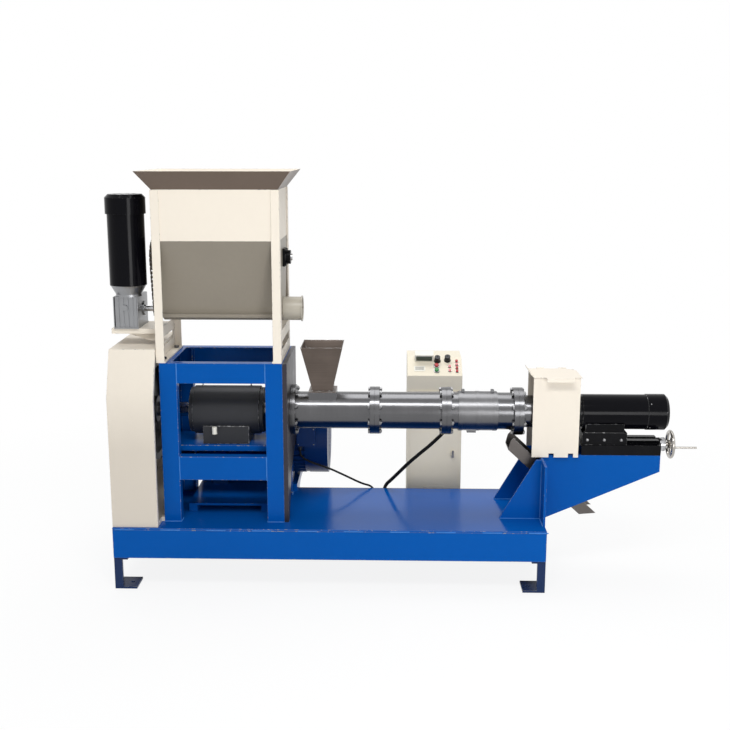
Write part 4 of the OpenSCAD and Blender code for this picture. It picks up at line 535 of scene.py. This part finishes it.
# %% One finish for each material slot of the record
RINGS = (1, 0.004, 0.004)
LONG_GRAIN = (0.01, 0.01, 1)
BANDS = (1, 0.02, 0.02)
CREAM = (0.80, 0.73, 0.63)
BLUE = (0.001, 0.082, 0.36)
TAUPE = (0.265, 0.235, 0.19)
RECIPE = {
    "blue_paint": (enamel, BLUE, {"roughness": 0.2, "shine": 0.055, "wave": 1.0}),
    "dark_blue_paint": (enamel, (0.014, 0.03, 0.09), {"shine": 0.12}),
    "cream_paint": (enamel, CREAM, {"roughness": 0.42, "shine": 0.15, "mottle": 0.02, "wave": 0.3}),
    "cabinet_paint": (enamel, (0.80, 0.735, 0.60), {"roughness": 0.46, "shine": 0.15, "mottle": 0.03}),
    "motor_paint": (enamel, (0.004, 0.028, 0.12), {"roughness": 0.3, "shine": 0.12}),
    "black_paint": (enamel, (0.0022, 0.0022, 0.0036),
                    {"roughness": 0.13, "shine": 0.08, "mottle": 0.2}),
    "plate_steel": (metal, (0.05, 0.047, 0.058), {"grain": LONG_GRAIN, "roughness": 0.4}),
    "barrel_steel": (metal, (0.125, 0.125, 0.13),
                     {"grain": RINGS, "roughness": 0.22, "spread": 0.1, "depth": 0.000004}),
    "band_steel": (metal, (0.15, 0.15, 0.155), {"grain": BANDS, "roughness": 0.3, "depth": 0.00001}),
    "funnel_steel": (metal, (0.13, 0.105, 0.09),
                     {"grain": LONG_GRAIN, "roughness": 0.34, "spread": 0.3}),
    "chute_steel": (metal, (0.11, 0.1, 0.095), {"grain": LONG_GRAIN, "roughness": 0.38}),
    "grey_sheet": (enamel, TAUPE, {"roughness": 0.36, "shine": 0.15, "mottle": 0.05}),
    "shaft_steel": (metal, (0.5, 0.5, 0.51), {"grain": RINGS, "roughness": 0.2, "depth": 0.00001}),
    "bolt_steel": (metal, (0.2, 0.2, 0.205), {"roughness": 0.3}),
    "bearing_steel": (metal, (0.45, 0.45, 0.45), {"roughness": 0.28}),
    "chain_steel": (metal, (0.06, 0.05, 0.042), {"roughness": 0.36, "fine": 300.0, "spread": 0.4}),
    "grey_cast": (metal, (0.035, 0.036, 0.04), {"roughness": 0.42, "metallic": 0.4, "shine": 0.2}),
    "black_cast": (metal, (0.004, 0.004, 0.005), {"roughness": 0.26, "metallic": 0.0, "shine": 0.08}),
    "pulley_iron": (metal, (0.13, 0.13, 0.135), {"roughness": 0.42}),
    "cast_aluminium": (metal, (0.30, 0.305, 0.315),
                       {"roughness": 0.36, "depth": 0.00012, "spread": 0.25}),
    "wheel_chrome": (metal, (0.42, 0.4, 0.37), {"grain": RINGS, "roughness": 0.16}),
    "belt_rubber": (moulded, (0.012, 0.012, 0.012), {"roughness": 0.7}),
    "cable_rubber": (moulded, (0.005, 0.005, 0.006), {"roughness": 0.45, "shine": 0.15}),
    "conduit_plastic": (moulded, (0.004, 0.004, 0.005), {"roughness": 0.4, "shine": 0.12}),
    "gland_plastic": (moulded, (0.01, 0.01, 0.012), {"roughness": 0.45}),
    "white_plastic": (moulded, (0.78, 0.76, 0.68), {"roughness": 0.3}),
    "black_plastic": (moulded, (0.01, 0.01, 0.011), {"roughness": 0.34}),
    "red_plastic": (moulded, (0.4, 0.012, 0.014), {"roughness": 0.22}),
    "green_plastic": (moulded, (0.008, 0.2, 0.035), {"roughness": 0.22}),
}
WEAR = {"blue_paint": 0.36, "dark_blue_paint": 0.9, "cream_paint": 0.35, "cabinet_paint": 0.4,
        "motor_paint": 0.5, "black_paint": 0.3, "plate_steel": 0.9, "grey_sheet": 0.5,
        "funnel_steel": 0.8, "chute_steel": 0.9, "grey_cast": 0.6, "black_cast": 0.5}
FINISH = {slot: make(slot + "_skin", colour, **details)
          for slot, (make, colour, details) in RECIPE.items()}
WORN = {slot: RECIPE[slot][0](slot + "_edge", RECIPE[slot][1], worn=worn, **RECIPE[slot][2])
        for slot, worn in WEAR.items()}

# %% Paint the frame's own nodes and the cables
for node, thing in frame["nodes"].items():
    thing.data.materials.clear()
    thing.data.materials.append(FINISH[SLOT_OF[node]])
conduit.data.materials.append(FINISH["conduit_plastic"])
cable.data.materials.append(FINISH["cable_rubber"])
print("finishes:", len(FINISH), "worn edges:", len(WORN))

# %% [markdown]
# Some pieces differ from their slot. The belt guard's cream darkens towards the floor, which is
# painted shade, a thin dark line of painted shade runs along the deck's back edge, and the hopper's
# flare is a darker brown-grey on its downward faces, painted shade too. A second material for each
# part of a piece would do for the flare. The guard and the deck have no border to cut along, so there
# the colour turns over a stretch of one axis, with a little noise on the border.

# %% Finishes of single pieces
# The first colour is the belt guard's painted shade, the second the painted shade along the deck's
# back edge.
GUARD_PAINTED_SHADE, DECK_EDGE_SHADE = (0.63, 0.57, 0.49), (0.10, 0.075, 0.05)
GUARD_LIT_FROM, GUARD_SHADED_AT = 0.74, 0.52
EDGE_SHADE_FROM, EDGE_SHADE_FULL = 0.2365, 0.2385

# The belt guard's cream is a little darker and turns grey-beige below 0.74 m: painted shade towards
# the floor.
GUARD_SHADED_CREAM = graded("guard_cream_painted_shade", shade(CREAM, 0.97), GUARD_PAINTED_SHADE, GUARD_LIT_FROM, GUARD_SHADED_AT,
                     roughness=0.42, shine=0.15, mottle=0.03, wave=0.5)
# The deck's top turns dark brown over its last millimetres at the back: a painted shade line along
# that edge.
DECK_BLUE = graded("deck_blue", BLUE, DECK_EDGE_SHADE, EDGE_SHADE_FROM, EDGE_SHADE_FULL, axis=1, ragged=0.012,
                   roughness=0.16, shine=0.12, wave=1.2)
# The weld beads: a lighter blue, which is painted highlight, and a higher shine than the frame's
# paint.
WELD_PAINTED_HIGHLIGHT = enamel("weld_blue_painted_highlight", (0.03, 0.17, 0.5), roughness=0.22, shine=0.5, mottle=0.3)
# The flare's downward faces get a dark brown-grey: painted shade under the rim.
FLARE_PAINTED_SHADE = enamel("flare_underside_painted_shade", (0.155, 0.118, 0.094), roughness=0.34, shine=0.12, mottle=0.06)
TUBE_GREY = enamel("tube_grey", (0.43, 0.395, 0.33), roughness=0.3, shine=0.3)
GLASS_DARK = moulded("meter_glass", (0.03, 0.045, 0.03), roughness=0.12, shine=0.6)
LAMP_PINK = moulded("lamp_lens", (0.62, 0.17, 0.18), roughness=0.2, shine=0.5)
print("materials in all:", len(bpy.data.materials))

# %% [markdown]
# ## Edges that catch the light
#
# A CAD solid has edges of zero radius, and real ones never do: sheet is folded round a radius,
# plate is ground, castings are filleted. That thin bright line along an edge is most of what makes
# metal look real. Rounding in CAD would cost bores and joints their exactness. So each visible
# solid is copied, its loose triangles are merged into whole faces, and a Bevel modifier rounds the
# copy, which then stands for the node. The modifier gives the new faces the worn finish.

# %% A rounded copy of a node
MERGE = 1e-5
FLAT = math.radians(0.5)
SHARP = math.radians(32)


def body_mesh(node):
    """The node's mesh in a bmesh, merged, with its flat faces whole."""
    bm = bmesh.new()
    bm.from_mesh(frame["nodes"][node].data)
    bmesh.ops.remove_doubles(bm, verts=bm.verts, dist=MERGE)
    bmesh.ops.dissolve_limit(bm, angle_limit=FLAT, verts=bm.verts, edges=bm.edges)
    return bm


def smooth(piece):
    """Shades a piece smooth but for its sharp edges."""
    mesh = piece.data
    stale = mesh.attributes.get("custom_normal")
    if stale:
        mesh.attributes.remove(stale)
    mesh.shade_smooth()
    mesh.set_sharp_from_angle(angle=SHARP)


def rounded(piece, width, worn=-1):
    """Rounds a piece's sharp edges, and gives the round the material slot of that number."""
    bevel = piece.modifiers.new("edge", "BEVEL")
    bevel.width = width
    bevel.segments = 2
    bevel.limit_method = "ANGLE"
    bevel.angle_limit = SHARP
    bevel.harden_normals = True
    bevel.material = worn


# %% Dress a piece, or some of its faces


def dressed(bm, name, slot, body, edge=0.0, finishes=None):
    """Makes a bmesh a piece with its finish, worn edges, body and slot."""
    mesh = bpy.data.meshes.new(name)
    bm.to_mesh(mesh)
    bm.free()
    piece = bpy.data.objects.new(name, mesh)
    bpy.context.scene.collection.objects.link(piece)
    for material in finishes or [FINISH[slot]]:
        mesh.materials.append(material)
    smooth(piece)
    if edge and slot in WORN:
        mesh.materials.append(WORN[slot])
        rounded(piece, edge, len(mesh.materials) - 1)
    elif edge:
        rounded(piece, edge)
    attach(piece, body)
    return piece


def mark_faces(bm, number, test):
    """Gives the faces that pass a test the material slot of that number."""
    for face in bm.faces:
        if test(face.calc_center_median() / MM, face.normal):
            face.material_index = number


# %% How wide each rounded copy's edges are, in millimetres
EDGE = {
    "base_frame": 2.5, "base_deck": 1.2, "floor_feet": 1.0, "tower_frame": 2.0, "face_plate": 1.2,
    "bearing_housing": 1.5, "housing_covers": 1.0, "oil_sight": 0.6, "barrel_feed_section": 1.2,
    "barrel_middle_section": 1.2, "barrel_die_section": 1.2, "flange_bolts": 0.5,
    "die_adaptor": 1.0, "die_plate": 0.6, "heater_band": 0.5, "feed_funnel": 0.6,
    "belt_guard": 0.9, "motor_housing": 0.8, "motor_mount": 1.0, "hopper_shell": 0.7,
    "hopper_cone": 0.7, "hopper_frame": 1.0, "feed_trough": 0.7, "feeder_shelf": 1.0,
    "feeder_gearbox": 0.9, "feeder_motor": 1.5, "flange_bearings": 0.8, "drive_chain": 0.2,
    "support_bracket": 1.2, "discharge_chute": 0.6, "slide_bed": 1.0, "cabinet_shell": 0.8,
    "panel_parts": 0.6, "cable_glands": 0.5, "frame_bolts": 0.4, "main_shaft": 0.8,
    "large_pulley": 0.8, "small_pulley": 0.8, "auger_sprocket": 0.3, "agitator_sprocket": 0.3,
    "slide_saddle": 1.0, "cutter_motor": 1.5, "cutter_guard": 0.8, "cutter_head": 0.4,
    "guard_lid": 0.7, "crank_grip": 0.4, "cabinet_door": 0.7, "start_button": 0.6,
    "stop_button": 0.6, "speed_knob_left": 0.6, "speed_knob_right": 0.6, "handwheel": 0.4,
}

# %% Pieces with a second finish, and the faces that wear it, in millimetres
FLARE_FROM = 1434
FACES_DOWN = -0.2
BELL_TOP = 1094
TUBE_FROM = -160


# Downward faces of the flare, which carry the painted shade.
def on_flare(at, way):
    return at.z > FLARE_FROM and way.z < FACES_DOWN


def on_bell(at, way):
    return at.z < BELL_TOP


def on_tube(at, way):
    return at.x > TUBE_FROM


OWN_FINISH = {
    "belt_guard": ([GUARD_SHADED_CREAM], None),
    "base_deck": ([DECK_BLUE], None),
    "hopper_shell": ([FINISH["cream_paint"], FLARE_PAINTED_SHADE], on_flare),
    "feeder_motor": ([FINISH["black_paint"], FINISH["cast_aluminium"]], on_bell),
    "hopper_cone": ([FINISH["grey_sheet"], TUBE_GREY], on_tube),
    "feed_trough": ([FINISH["grey_sheet"], TUBE_GREY], on_tube),
}

# %% [markdown]
# The console's lamps, rings and plates are one node, and each has its own plastic. They could be
# told apart by loose parts, but a lamp and its lens are two parts of one fitting. So each face is
# laid flat in the console's own frame, and takes the colour of the fitting whose place is nearest.

# %% The console's fittings, each in its own colour
CONSOLE_AT = Vector((401, 430, 656))
CONSOLE_TILT = math.atan2(60, 95)
ON_CONSOLE = Matrix.Translation(CONSOLE_AT) @ Matrix.Rotation(CONSOLE_TILT, 4, "X")
BLACK, WHITE, RED, PINK = range(4)
FITTING_FINISH = [FINISH["black_plastic"], FINISH["white_plastic"], FINISH["red_plastic"], LAMP_PINK]
METER, PLATE = (-43, 98), (-62, 42)
LAMPS = {(92, 26): RED, (92, 46): RED, (92, 66): PINK, (92, 86): RED, (62, 30): PINK, (62, 54): PINK}
BUTTONS = ((8, 30), (8, 58))
KNOBS = ((12, 88), (54, 92))
FITTINGS = {METER: WHITE, PLATE: WHITE, **LAMPS, **dict.fromkeys(BUTTONS + KNOBS, BLACK)}
WIDE = 2.2


def nearest_fitting(at):
    """The material number of the console fitting that a point belongs to."""
    u, v = (ON_CONSOLE.inverted() @ at).xy
    across = {place: math.hypot((u - place[0]) / (WIDE if place[0] < 0 else 1), v - place[1])
              for place in FITTINGS}
    return FITTINGS[min(across, key=across.get)]


def paint_fittings(bm):
    for face in bm.faces:
        face.material_index = nearest_fitting(face.calc_center_median() / MM)


# %% Make the copies
for node, width in EDGE.items():
    bm = body_mesh(node)
    finishes, test = OWN_FINISH.get(node, (None, None))
    if test:
        mark_faces(bm, 1, test)
    if node == "panel_parts":
        finishes = FITTING_FINISH
        paint_fittings(bm)
    copy = dressed(bm, node + "_body", SLOT_OF[node], BODY_OF[node], width * MM, finishes)
    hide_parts(node)
print("rounded copies:", len(EDGE))

# %% [markdown]
# ## Small parts that a viewer expects
#
# Close up, a machine is known by its fasteners: weld beads, bolt heads on washers, screws, lifting
# eyes and grease nipples. They could be drawn in CAD, where each would cost faces in every check.
# Here each kind is turned or extruded along X once, then aimed at its place. Copies that ride on
# one body are joined into one piece.

# %% Aim, copy and join small parts
X_WAY = Vector((1, 0, 0))
SUNK = 0.4
FRONT, BACK, UP, LEFT, RIGHT = (0, -1, 0), (0, 1, 0), (0, 0, 1), (-1, 0, 0), (1, 0, 0)


def aimed(bm, at, way):
    """Turns a part that lies along X to point another way, and moves it there, in millimetres."""
    turn = X_WAY.rotation_difference(Vector(way)).to_matrix().to_4x4()
    bmesh.ops.transform(bm, matrix=Matrix.Translation(Vector(at) * MM) @ turn, verts=bm.verts)
    return bm


def joined(parts):
    """One bmesh from several, which are used up."""
    whole = bmesh.new()
    for part in parts:
        bmesh.ops.recalc_face_normals(part, faces=part.faces)
        mesh = bpy.data.meshes.new("part")
        part.to_mesh(mesh)
        part.free()
        whole.from_mesh(mesh)
        bpy.data.meshes.remove(mesh)
    return whole


def turned(profile, sides=16):
    """A turned part from its profile in millimetres."""
    return spun_along_x([(x * MM, r * MM) for x, r in profile], sides)


# %% Bolts, screws, grease nipples and a lifting eye


def hexagon(r, h, crown=0.12):
    """A hexagonal head along X, with its outer edges crowned."""
    bm = bmesh.new()
    bmesh.ops.create_cone(bm, cap_ends=True, segments=6, radius1=r * MM, radius2=r * MM,
                          depth=h * MM)
    top = [e for e in bm.edges if all(v.co.z > 0 for v in e.verts)]
    bmesh.ops.bevel(bm, geom=top, offset=crown * r * MM, segments=2, profile=0.5, affect="EDGES",
                    material=-1)
    turn = Matrix.Rotation(math.pi / 2, 4, "Y") @ Matrix.Translation((0, 0, h / 2 * MM))
    bmesh.ops.transform(bm, matrix=turn, verts=bm.verts)
    return bm


def bolt(at, way, d):
    """A hexagon head on its washer, for a thread of diameter d."""
    thick, wide = 0.2 * d, 1.1 * d
    washer = turned([(-SUNK, 0), (-SUNK, wide), (0.8 * thick, wide), (thick, 1.04 * d), (thick, 0)])
    head = aimed(hexagon(0.92 * d, 0.65 * d), (thick, 0, 0), RIGHT)
    return aimed(joined([washer, head]), at, way)


def screw(at, way, r):
    """A domed screw head."""
    dome = [(-SUNK, 0), (-SUNK, r), (0.2 * r, r), (0.5 * r, 0.85 * r), (0.72 * r, 0.5 * r),
            (0.8 * r, 0)]
    return aimed(turned(dome, 12), at, way)


def nipple(at, way):
    """A grease nipple: hexagon, neck and ball."""
    neck = turned([(4, 0), (4, 2.2), (7, 2.0), (8, 3.1), (10, 3.3), (11.4, 2.2), (12, 0)], 12)
    return aimed(joined([hexagon(4.6, 4.4), neck]), at, way)


def eye_bolt(at, way, r=15.0, wire=4.0):
    """A lifting eye: a ring that stands on its collar."""
    bm = bmesh.new()
    made = bmesh.ops.create_circle(bm, segments=10, radius=wire * MM)
    bmesh.ops.translate(bm, vec=(r * MM, 0, 0), verts=made["verts"])
    bmesh.ops.rotate(bm, matrix=Matrix.Rotation(math.pi / 2, 3, "X"), verts=bm.verts)
    bmesh.ops.spin(bm, geom=bm.verts[:] + bm.edges[:], cent=(0, 0, 0), axis=(0, 0, 1),
                   dvec=(0, 0, 0), angle=2 * math.pi, steps=24, use_merge=True,
                   use_normal_flip=False, use_duplicate=False)
    bmesh.ops.remove_doubles(bm, verts=bm.verts, dist=SAME_POINT)
    ring = aimed(bm, (r + wire + 4, 0, 0), RIGHT)
    collar = turned([(-SUNK, 0), (-SUNK, 11), (4, 11), (6, 7), (9, 6), (9, 0)], 18)
    return aimed(joined([ring, collar]), at, way)


# %% [markdown]
# The frame is welded from channels and plate, so each joint shows a bead of overlapping scales
# under its paint. Bump on the corner would vanish in a side view. A bead is turned instead, one
# bulge per scale, and laid into the corner between two points.

# %% Weld beads of the frame
DECK_TOP = 235
BEAM_TOP = 229
POSTS_X = (-605, -227)
POST_W = 62
POSTS_Y = (-166, 146)
POST_D = 40
TOWER_FACES_Y = (-166, 186)
INNER_X = (-543, -227)
BEAMS_Z = ((393, 88), (752, 73))
STITCH = 70
RIBS_Y = (-104, -96, 116, 124)
END_PLATE_X = (772, 780)


def bead(start, end, r=2.6, pitch=3.2):
    """A weld bead between two points: a row of overlapping scales."""
    start, end = Vector(start), Vector(end)
    length = (end - start).length
    steps = max(2, round(length / pitch))
    profile = [(0, 0)]
    for i in range(steps):
        x = i * length / steps
        profile += [(x + 0.1, 0.72 * r), (x + 0.45 * length / steps, r)]
    return aimed(turned(profile + [(length, 0.7 * r), (length, 0)], 8), start, end - start)


WELD = [((x, y, DECK_TOP), (x, y + POST_D, DECK_TOP))
        for post in POSTS_X for x in (post, post + POST_W) for y in POSTS_Y]
WELD += [((x, y, DECK_TOP), (x + POST_W, y, DECK_TOP)) for x in POSTS_X for y in TOWER_FACES_Y]
WELD += [((x, y, z), (x, y, z + h)) for x in INNER_X for y in TOWER_FACES_Y for z, h in BEAMS_Z]
WELD += [((x, y, BEAM_TOP), (x + STITCH, y, BEAM_TOP))
         for x in range(-770, 760, 165) for y in (-242, 242)]
WELD += [((622, y, DECK_TOP), (771, y, DECK_TOP)) for y in RIBS_Y]
WELD += [((END_PLATE_X[0], y, 240), (END_PLATE_X[0], y, 440)) for y in RIBS_Y]
WELD += [((END_PLATE_X[1], y, 240), (END_PLATE_X[1], y, 448)) for y in (-58, 78)]
WELD += [((END_PLATE_X[0], y, DECK_TOP), (END_PLATE_X[0], y + 84, DECK_TOP)) for y in (-189, 126)]
beads = joined([bead(*ends) for ends in WELD])
# The beads wear that lighter blue of painted highlight.
welds = dressed(beads, "frame_welds", "blue_paint", "root", 0.0, [WELD_PAINTED_HIGHLIGHT])
print("weld beads:", len(WELD), "faces:", len(welds.data.polygons))

# %% [markdown]
# Where screws sit tells how a thing comes apart: round the belt guard's rim, at the corners of the
# terminal box and of the cabinet's back, round the cutter motor's end cover, and in a row along the
# slide's gib, which they press on the dovetail. Each list gives places on the wall that they hold.

# %% Fasteners, eyes and nipples
GUARD_WALL_X = -780
GUARD_RIM = [(-215, 260), (-215, 470), (-215, 690), (-150, 850), (20, 858), (180, 850),
             (290, 760), (380, 700), (460, 620), (470, 440), (470, 260), (130, 255)]
AXIS_Y, AXIS_Z = 10, 615
COVER_X, COVER_R = 1174, 66.6


def round_cover(a):
    """A screw on the cutter motor's end cover, at an angle from the top."""
    way = (0, math.sin(a), math.cos(a))
    return screw((COVER_X, AXIS_Y + COVER_R * way[1], AXIS_Z + COVER_R * way[2]), way, 3)


BOLTS = {
    "belt_guard_screws": ("bolt_steel", "root", [
        screw((GUARD_WALL_X, y, z), LEFT, 5) for y, z in GUARD_RIM]),
    "motor_eye": ("bolt_steel", "root", [eye_bolt((-322, 345, 574), UP)]),
    "housing_nipples": ("bearing_steel", "root", [
        nipple((x, AXIS_Y, 704), UP) for x in (-480, -300)]),
    "gib_screws": ("bolt_steel", "carriage", [
        bolt((x, -48, 521), FRONT, 5) for x in (945, 1007, 1069)]),
    "terminal_screws": ("bolt_steel", "root", [
        screw((x, 157, z), FRONT, 3) for x in (-141, -81) for z in (437, 498)]),
    "cutter_cover_screws": ("bolt_steel", "carriage", [
        round_cover(a) for a in (0.9, 2.4, -0.9, -2.4)]),
    "cabinet_back_screws": ("bolt_steel", "root", [
        screw((x, 670, z), BACK, 4) for x in (300, 502) for z in (30, 250, 470, 690)]),
    "guard_side_screws": ("bolt_steel", "carriage", [
        screw((909, y, z), RIGHT, 3.5) for y in (-58, 78) for z in (560, 730)]),
}
for name, (slot, body, parts) in BOLTS.items():
    print(name, len(dressed(joined(parts), name, slot, body).data.polygons), "faces")

# %% [markdown]
# ## Straps and dial
#
# A band heater is held by thin straps. The lead screw's collar is bare steel, with a division every
# ninth degree, so that the cutter's distance from the die can be set. Both could be painted lines,
# but a strap's edge and a cut line throw the small shadows that the eye reads. Both are flat rings,
# each spun from a closed outline of four corners, so they need no caps.

# %% Straps round the heater
HEATER_R = 73
STRAP_W = 12
STRAP_UNDER, STRAP_OVER = 0.5, 1.3
STRAPS_X = (474, 536.5, 599)


def ring_along_x(x, width, inner, outer, sides=64):
    """A flat ring round the X axis, closed."""
    bm = bmesh.new()
    corners = [(x, inner), (x + width, inner), (x + width, outer), (x, outer)]
    verts = [bm.verts.new((a * MM, 0, r * MM)) for a, r in corners]
    edges = [bm.edges.new((verts[i - 1], verts[i])) for i in range(4)]
    bmesh.ops.spin(bm, geom=verts + edges, cent=(0, 0, 0), axis=(1, 0, 0), dvec=(0, 0, 0),
                   angle=2 * math.pi, steps=sides, use_merge=True, use_normal_flip=False,
                   use_duplicate=False)
    bmesh.ops.remove_doubles(bm, verts=bm.verts, dist=SAME_POINT)
    bmesh.ops.recalc_face_normals(bm, faces=bm.faces)
    return bm


straps = []
for x in STRAPS_X:
    strap = ring_along_x(0, STRAP_W, HEATER_R - STRAP_UNDER, HEATER_R + STRAP_OVER)
    straps.append(aimed(strap, (x, AXIS_Y, AXIS_Z), RIGHT))
dressed(joined(straps), "heater_straps", "band_steel", "root", 0.3 * MM)
print("heater straps:", len(straps))

# %% The dial collar and its divisions
COLLAR_X = (1222, 1241.5)
COLLAR_R = 25
SCREW_Z = 491
DIVISIONS = 40
SHORT, LONG = 8, 12


def block(x, y, z):
    """A closed box between low and high corners, in millimetres."""
    bm = bmesh.new()
    bmesh.ops.create_cube(bm, size=MM)
    size = Vector((x[1] - x[0], y[1] - y[0], z[1] - z[0]))
    middle = Vector((x[0] + x[1], y[0] + y[1], z[0] + z[1])) / 2 * MM
    place = Matrix.Translation(middle) @ Matrix.Diagonal((*size, 1))
    bmesh.ops.transform(bm, matrix=place, verts=bm.verts)
    return bm


collar = ring_along_x(0, COLLAR_X[1] - COLLAR_X[0], COLLAR_R - 0.3, COLLAR_R + 0.6)
aimed(collar, (COLLAR_X[0], AXIS_Y, SCREW_Z), RIGHT)
dressed(joined([collar]), "dial_collar", "shaft_steel", "root", 0.3 * MM)
ticks = []
for i in range(DIVISIONS):
    tick = block((COLLAR_X[1] - (SHORT if i % 5 else LONG), COLLAR_X[1] - 0.6), (-0.35, 0.35),
                 (COLLAR_R + 0.3, COLLAR_R + 0.75))
    turn = Matrix.Rotation(i * 2 * math.pi / DIVISIONS, 3, "X")
    bmesh.ops.rotate(tick, cent=(0, 0, 0), matrix=turn, verts=tick.verts)
    bmesh.ops.translate(tick, vec=(0, AXIS_Y * MM, SCREW_Z * MM), verts=tick.verts)
    ticks.append(tick)
dressed(joined(ticks), "dial_divisions", "black_plastic", "root")
print("dial divisions:", len(ticks))

# %% [markdown]
# ## The cabinet's louvres and lock
#
# Louvres let the drives' heat out. They are pressed from the sheet itself, so they carry its paint
# and have no edge round them. They could be cut as slots in CAD. Here each is a long shallow
# blister, turned like a pill, flattened across the wall and half sunk in it.

# %% Louvres and the door's lock handle
PRESS = 0.55
LOUVRE_STEP = 18
DOOR_FRONT_Y = 426.7
WALLS_X = (288, 514)


def louvre(at, way, along, length=90.0, r=5.0):
    """A pressed louvre: a long blister with round ends, half sunk in the sheet."""
    profile = [(0, 0)] + [(r - r * math.cos(a), r * math.sin(a)) for a in (0.5, 1.0, 1.57)]
    profile += [(length - x, y) for x, y in reversed(profile[1:])] + [(length, 0)]
    bm = turned(profile, 12)
    squeeze = Vector((PRESS if abs(w) > 0.5 else 1.0) for w in way)
    aimed(bm, (0, 0, 0), along)
    bmesh.ops.scale(bm, vec=squeeze, verts=bm.verts)
    bmesh.ops.translate(bm, vec=Vector(at) * MM, verts=bm.verts)
    return bm


door_louvres = [louvre((357, DOOR_FRONT_Y, z), FRONT, RIGHT) for z in range(110, 200, LOUVRE_STEP)]
dressed(joined(door_louvres), "door_louvres", "cabinet_paint", "door")
side_louvres = [louvre((x, 500, z), RIGHT, BACK, 110.0)
                for x in WALLS_X for z in range(440, 560, LOUVRE_STEP)]
dressed(joined(side_louvres), "cabinet_louvres", "cabinet_paint", "root")
lock_bar = [block((475, 483), (410.5, 415.5), (312, 342)), screw((479, 410.5, 327), FRONT, 4)]
dressed(joined(lock_bar), "door_lock_handle", "bolt_steel", "door", 1.0 * MM)
print("louvres in the door and the walls:", len(door_louvres), len(side_louvres))

# %% [markdown]
# ## The console's rings, window and lines
#
# Panel lamps and buttons are held by bright rings, the meter has a dark window, and a small plate
# carries a few plain lines. They could go into CAD with the fittings. They are under a millimetre
# thick, so they are added here, made flat at the origin and then laid onto the console's slope.

# %% The meter's window, the plate's lines and the bright rings
LAMP_RING = [(0, 5.8), (2.4, 5.8), (2.4, 7.4), (0.6, 8.2), (0, 8.2), (0, 5.8)]
BUTTON_RING = [(2.6, 9.6), (4.4, 10.4), (4.0, 12.6), (2.6, 13.2), (2.6, 9.6)]
LINES_V = (34, 39, 44, 49)


def on_console(bm):
    """Moves a part from the console's own frame, in metres, onto its slope."""
    place = Matrix.Translation(CONSOLE_AT * MM) @ Matrix.Rotation(CONSOLE_TILT, 4, "X")
    bmesh.ops.transform(bm, matrix=place, verts=bm.verts)
    return bm


bezels = [on_console(aimed(turned(LAMP_RING, 24), (u, v, 0), UP)) for u, v in LAMPS]
bezels += [on_console(aimed(turned(BUTTON_RING, 28), (u, v, 0), UP)) for u, v in BUTTONS]
dressed(joined(bezels), "lamp_bezels", "bearing_steel", "root")
window = [on_console(block((-76, -10), (82.6, 84.4), (6, 30)))]
dressed(joined(window), "meter_window", "black_plastic", "root", 0.4 * MM, [GLASS_DARK])
legend = [on_console(block((-80, -44), (v, v + 1.6), (1.3, 1.8))) for v in LINES_V]
dressed(joined(legend), "legend_lines", "black_plastic", "root")
print("rings:", len(bezels), "lines:", len(legend))
